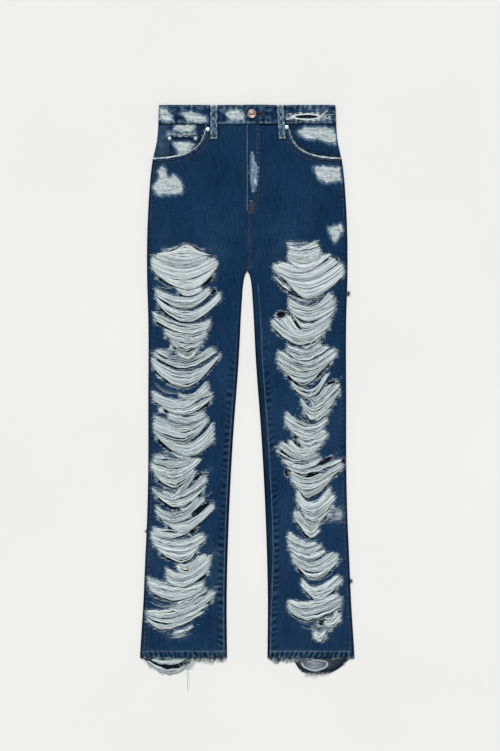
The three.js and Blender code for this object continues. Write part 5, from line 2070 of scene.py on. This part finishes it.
def makeButtonhole(draw):
    count = buttonhole["stitches"]
    turn = np.linspace(0, fullTurn, count, endpoint=False)[:, None]
    u = stepsAlong(3)
    out = buttonhole["round"] * mix(0.55, 1.5, u)
    middle = mix(button["x"] + 8, button["holeEnd"] - 7, 0.5)
    x = middle + (buttonhole["half"] + out) * np.cos(turn)
    down = button["down"] + out * np.sin(turn)
    z = bandTop(x, down) + buttonhole["rise"] * np.array([[0, 1, 0]])
    tones = mix(0.5, -0.4, u) + draw.uniform(-0.2, 0.2, (count, 1))
    radii = np.full((count, 3), buttonhole["radius"])
    addThreads("buttonhole", asPoints(x, down, z), radii, tones, tanThread, sides=4)


loopSewing = dict(
    inset=(-4.4, 4.4),
    ends=2,  # the rows stop this far from the loop's ends
    barHalf=5.5,
    bars=(4, loop["length"] - 5),  # below the loop's top
    barRows=(-1.2, 1.3, 0.6),
)


def loopStitches():
    lines = []
    for at, lean in frontLoops.values():
        ends = loopSewing["ends"]
        down = np.linspace(loop["top"] + ends, loop["top"] + loop["length"] - ends, 30)

        def surface(x, depth, at=at, lean=lean):
            return loopFace(x, depth, loopMiddle(at, lean, depth))

        for inset in loopSewing["inset"]:
            sew(lines, surface, loopMiddle(at, lean, down) + inset, down)
        for bar in loopSewing["bars"]:
            barDown = loop["top"] + bar
            x = np.linspace(-loopSewing["barHalf"], loopSewing["barHalf"], 8) + loopMiddle(at, lean, barDown)
            for step in np.arange(*loopSewing["barRows"]):
                sew(lines, surface, x, barDown + step)
    addStitches("loops", lines, tanThread)


backSewing = dict(
    yoke=(3, 8),
    yokeRun=(4, 166),
    pocket=(2.5, 7.5),
    pocketTop=(5, 10),
    seat=(2.5, 7.5),  # x of the two rows
    seatFrom=100,
    hemShare=0.9,  # how much of the hem's hang its stitches follow
)


def backStitches():
    lines = []
    size = backPocket
    foot = size["height"] - size["point"]
    for side in legSides.values():
        x = np.linspace(*backSewing["yokeRun"], 60)
        for inset in backSewing["yoke"]:
            sew(lines, backFace, side * x, yokeSeam(x) + inset, True)
        for inset in backSewing["pocket"]:
            half, low = size["width"] / 2 - inset, size["lowWidth"] / 2 - inset
            ring = np.array(((-half, 2), (-low, foot - inset * 0.6), (0, size["height"] - inset),
                             (low, foot - inset * 0.6), (half, 2)))
            corners = np.linspace(0, 4, 160)
            x, down = (np.interp(corners, range(5), column) for column in ring.T)
            sew(lines, floorFace, x + side * size["x"], down + size["top"], True)
        x = np.linspace(-size["width"] / 2 + 4, size["width"] / 2 - 4, 30) + side * size["x"]
        for inset in backSewing["pocketTop"]:
            sew(lines, floorFace, x, size["top"] + inset, True)
    for x in backSewing["seat"]:
        sew(lines, backFace, x, np.linspace(backSewing["seatFrom"], cut["crotch"] - 4, 60), True)
    for leg, side in legSides.items():
        x = side * hemAcross()
        sew(lines, backFace, x, hemLine + hemFall(leg, x) * backSewing["hemShare"], True)
    for down in bandSewing["rows"]:
        sew(lines, backLift, np.linspace(-bandSewing["back"], bandSewing["back"], 90), down, True)
    addStitches("back", lines, tanThread)


frontStitches()
flyStitches()
bandStitches()
makeButtonhole(seeded(buttonhole["seed"]))
loopStitches()
backStitches()
print("topstitching sewn")
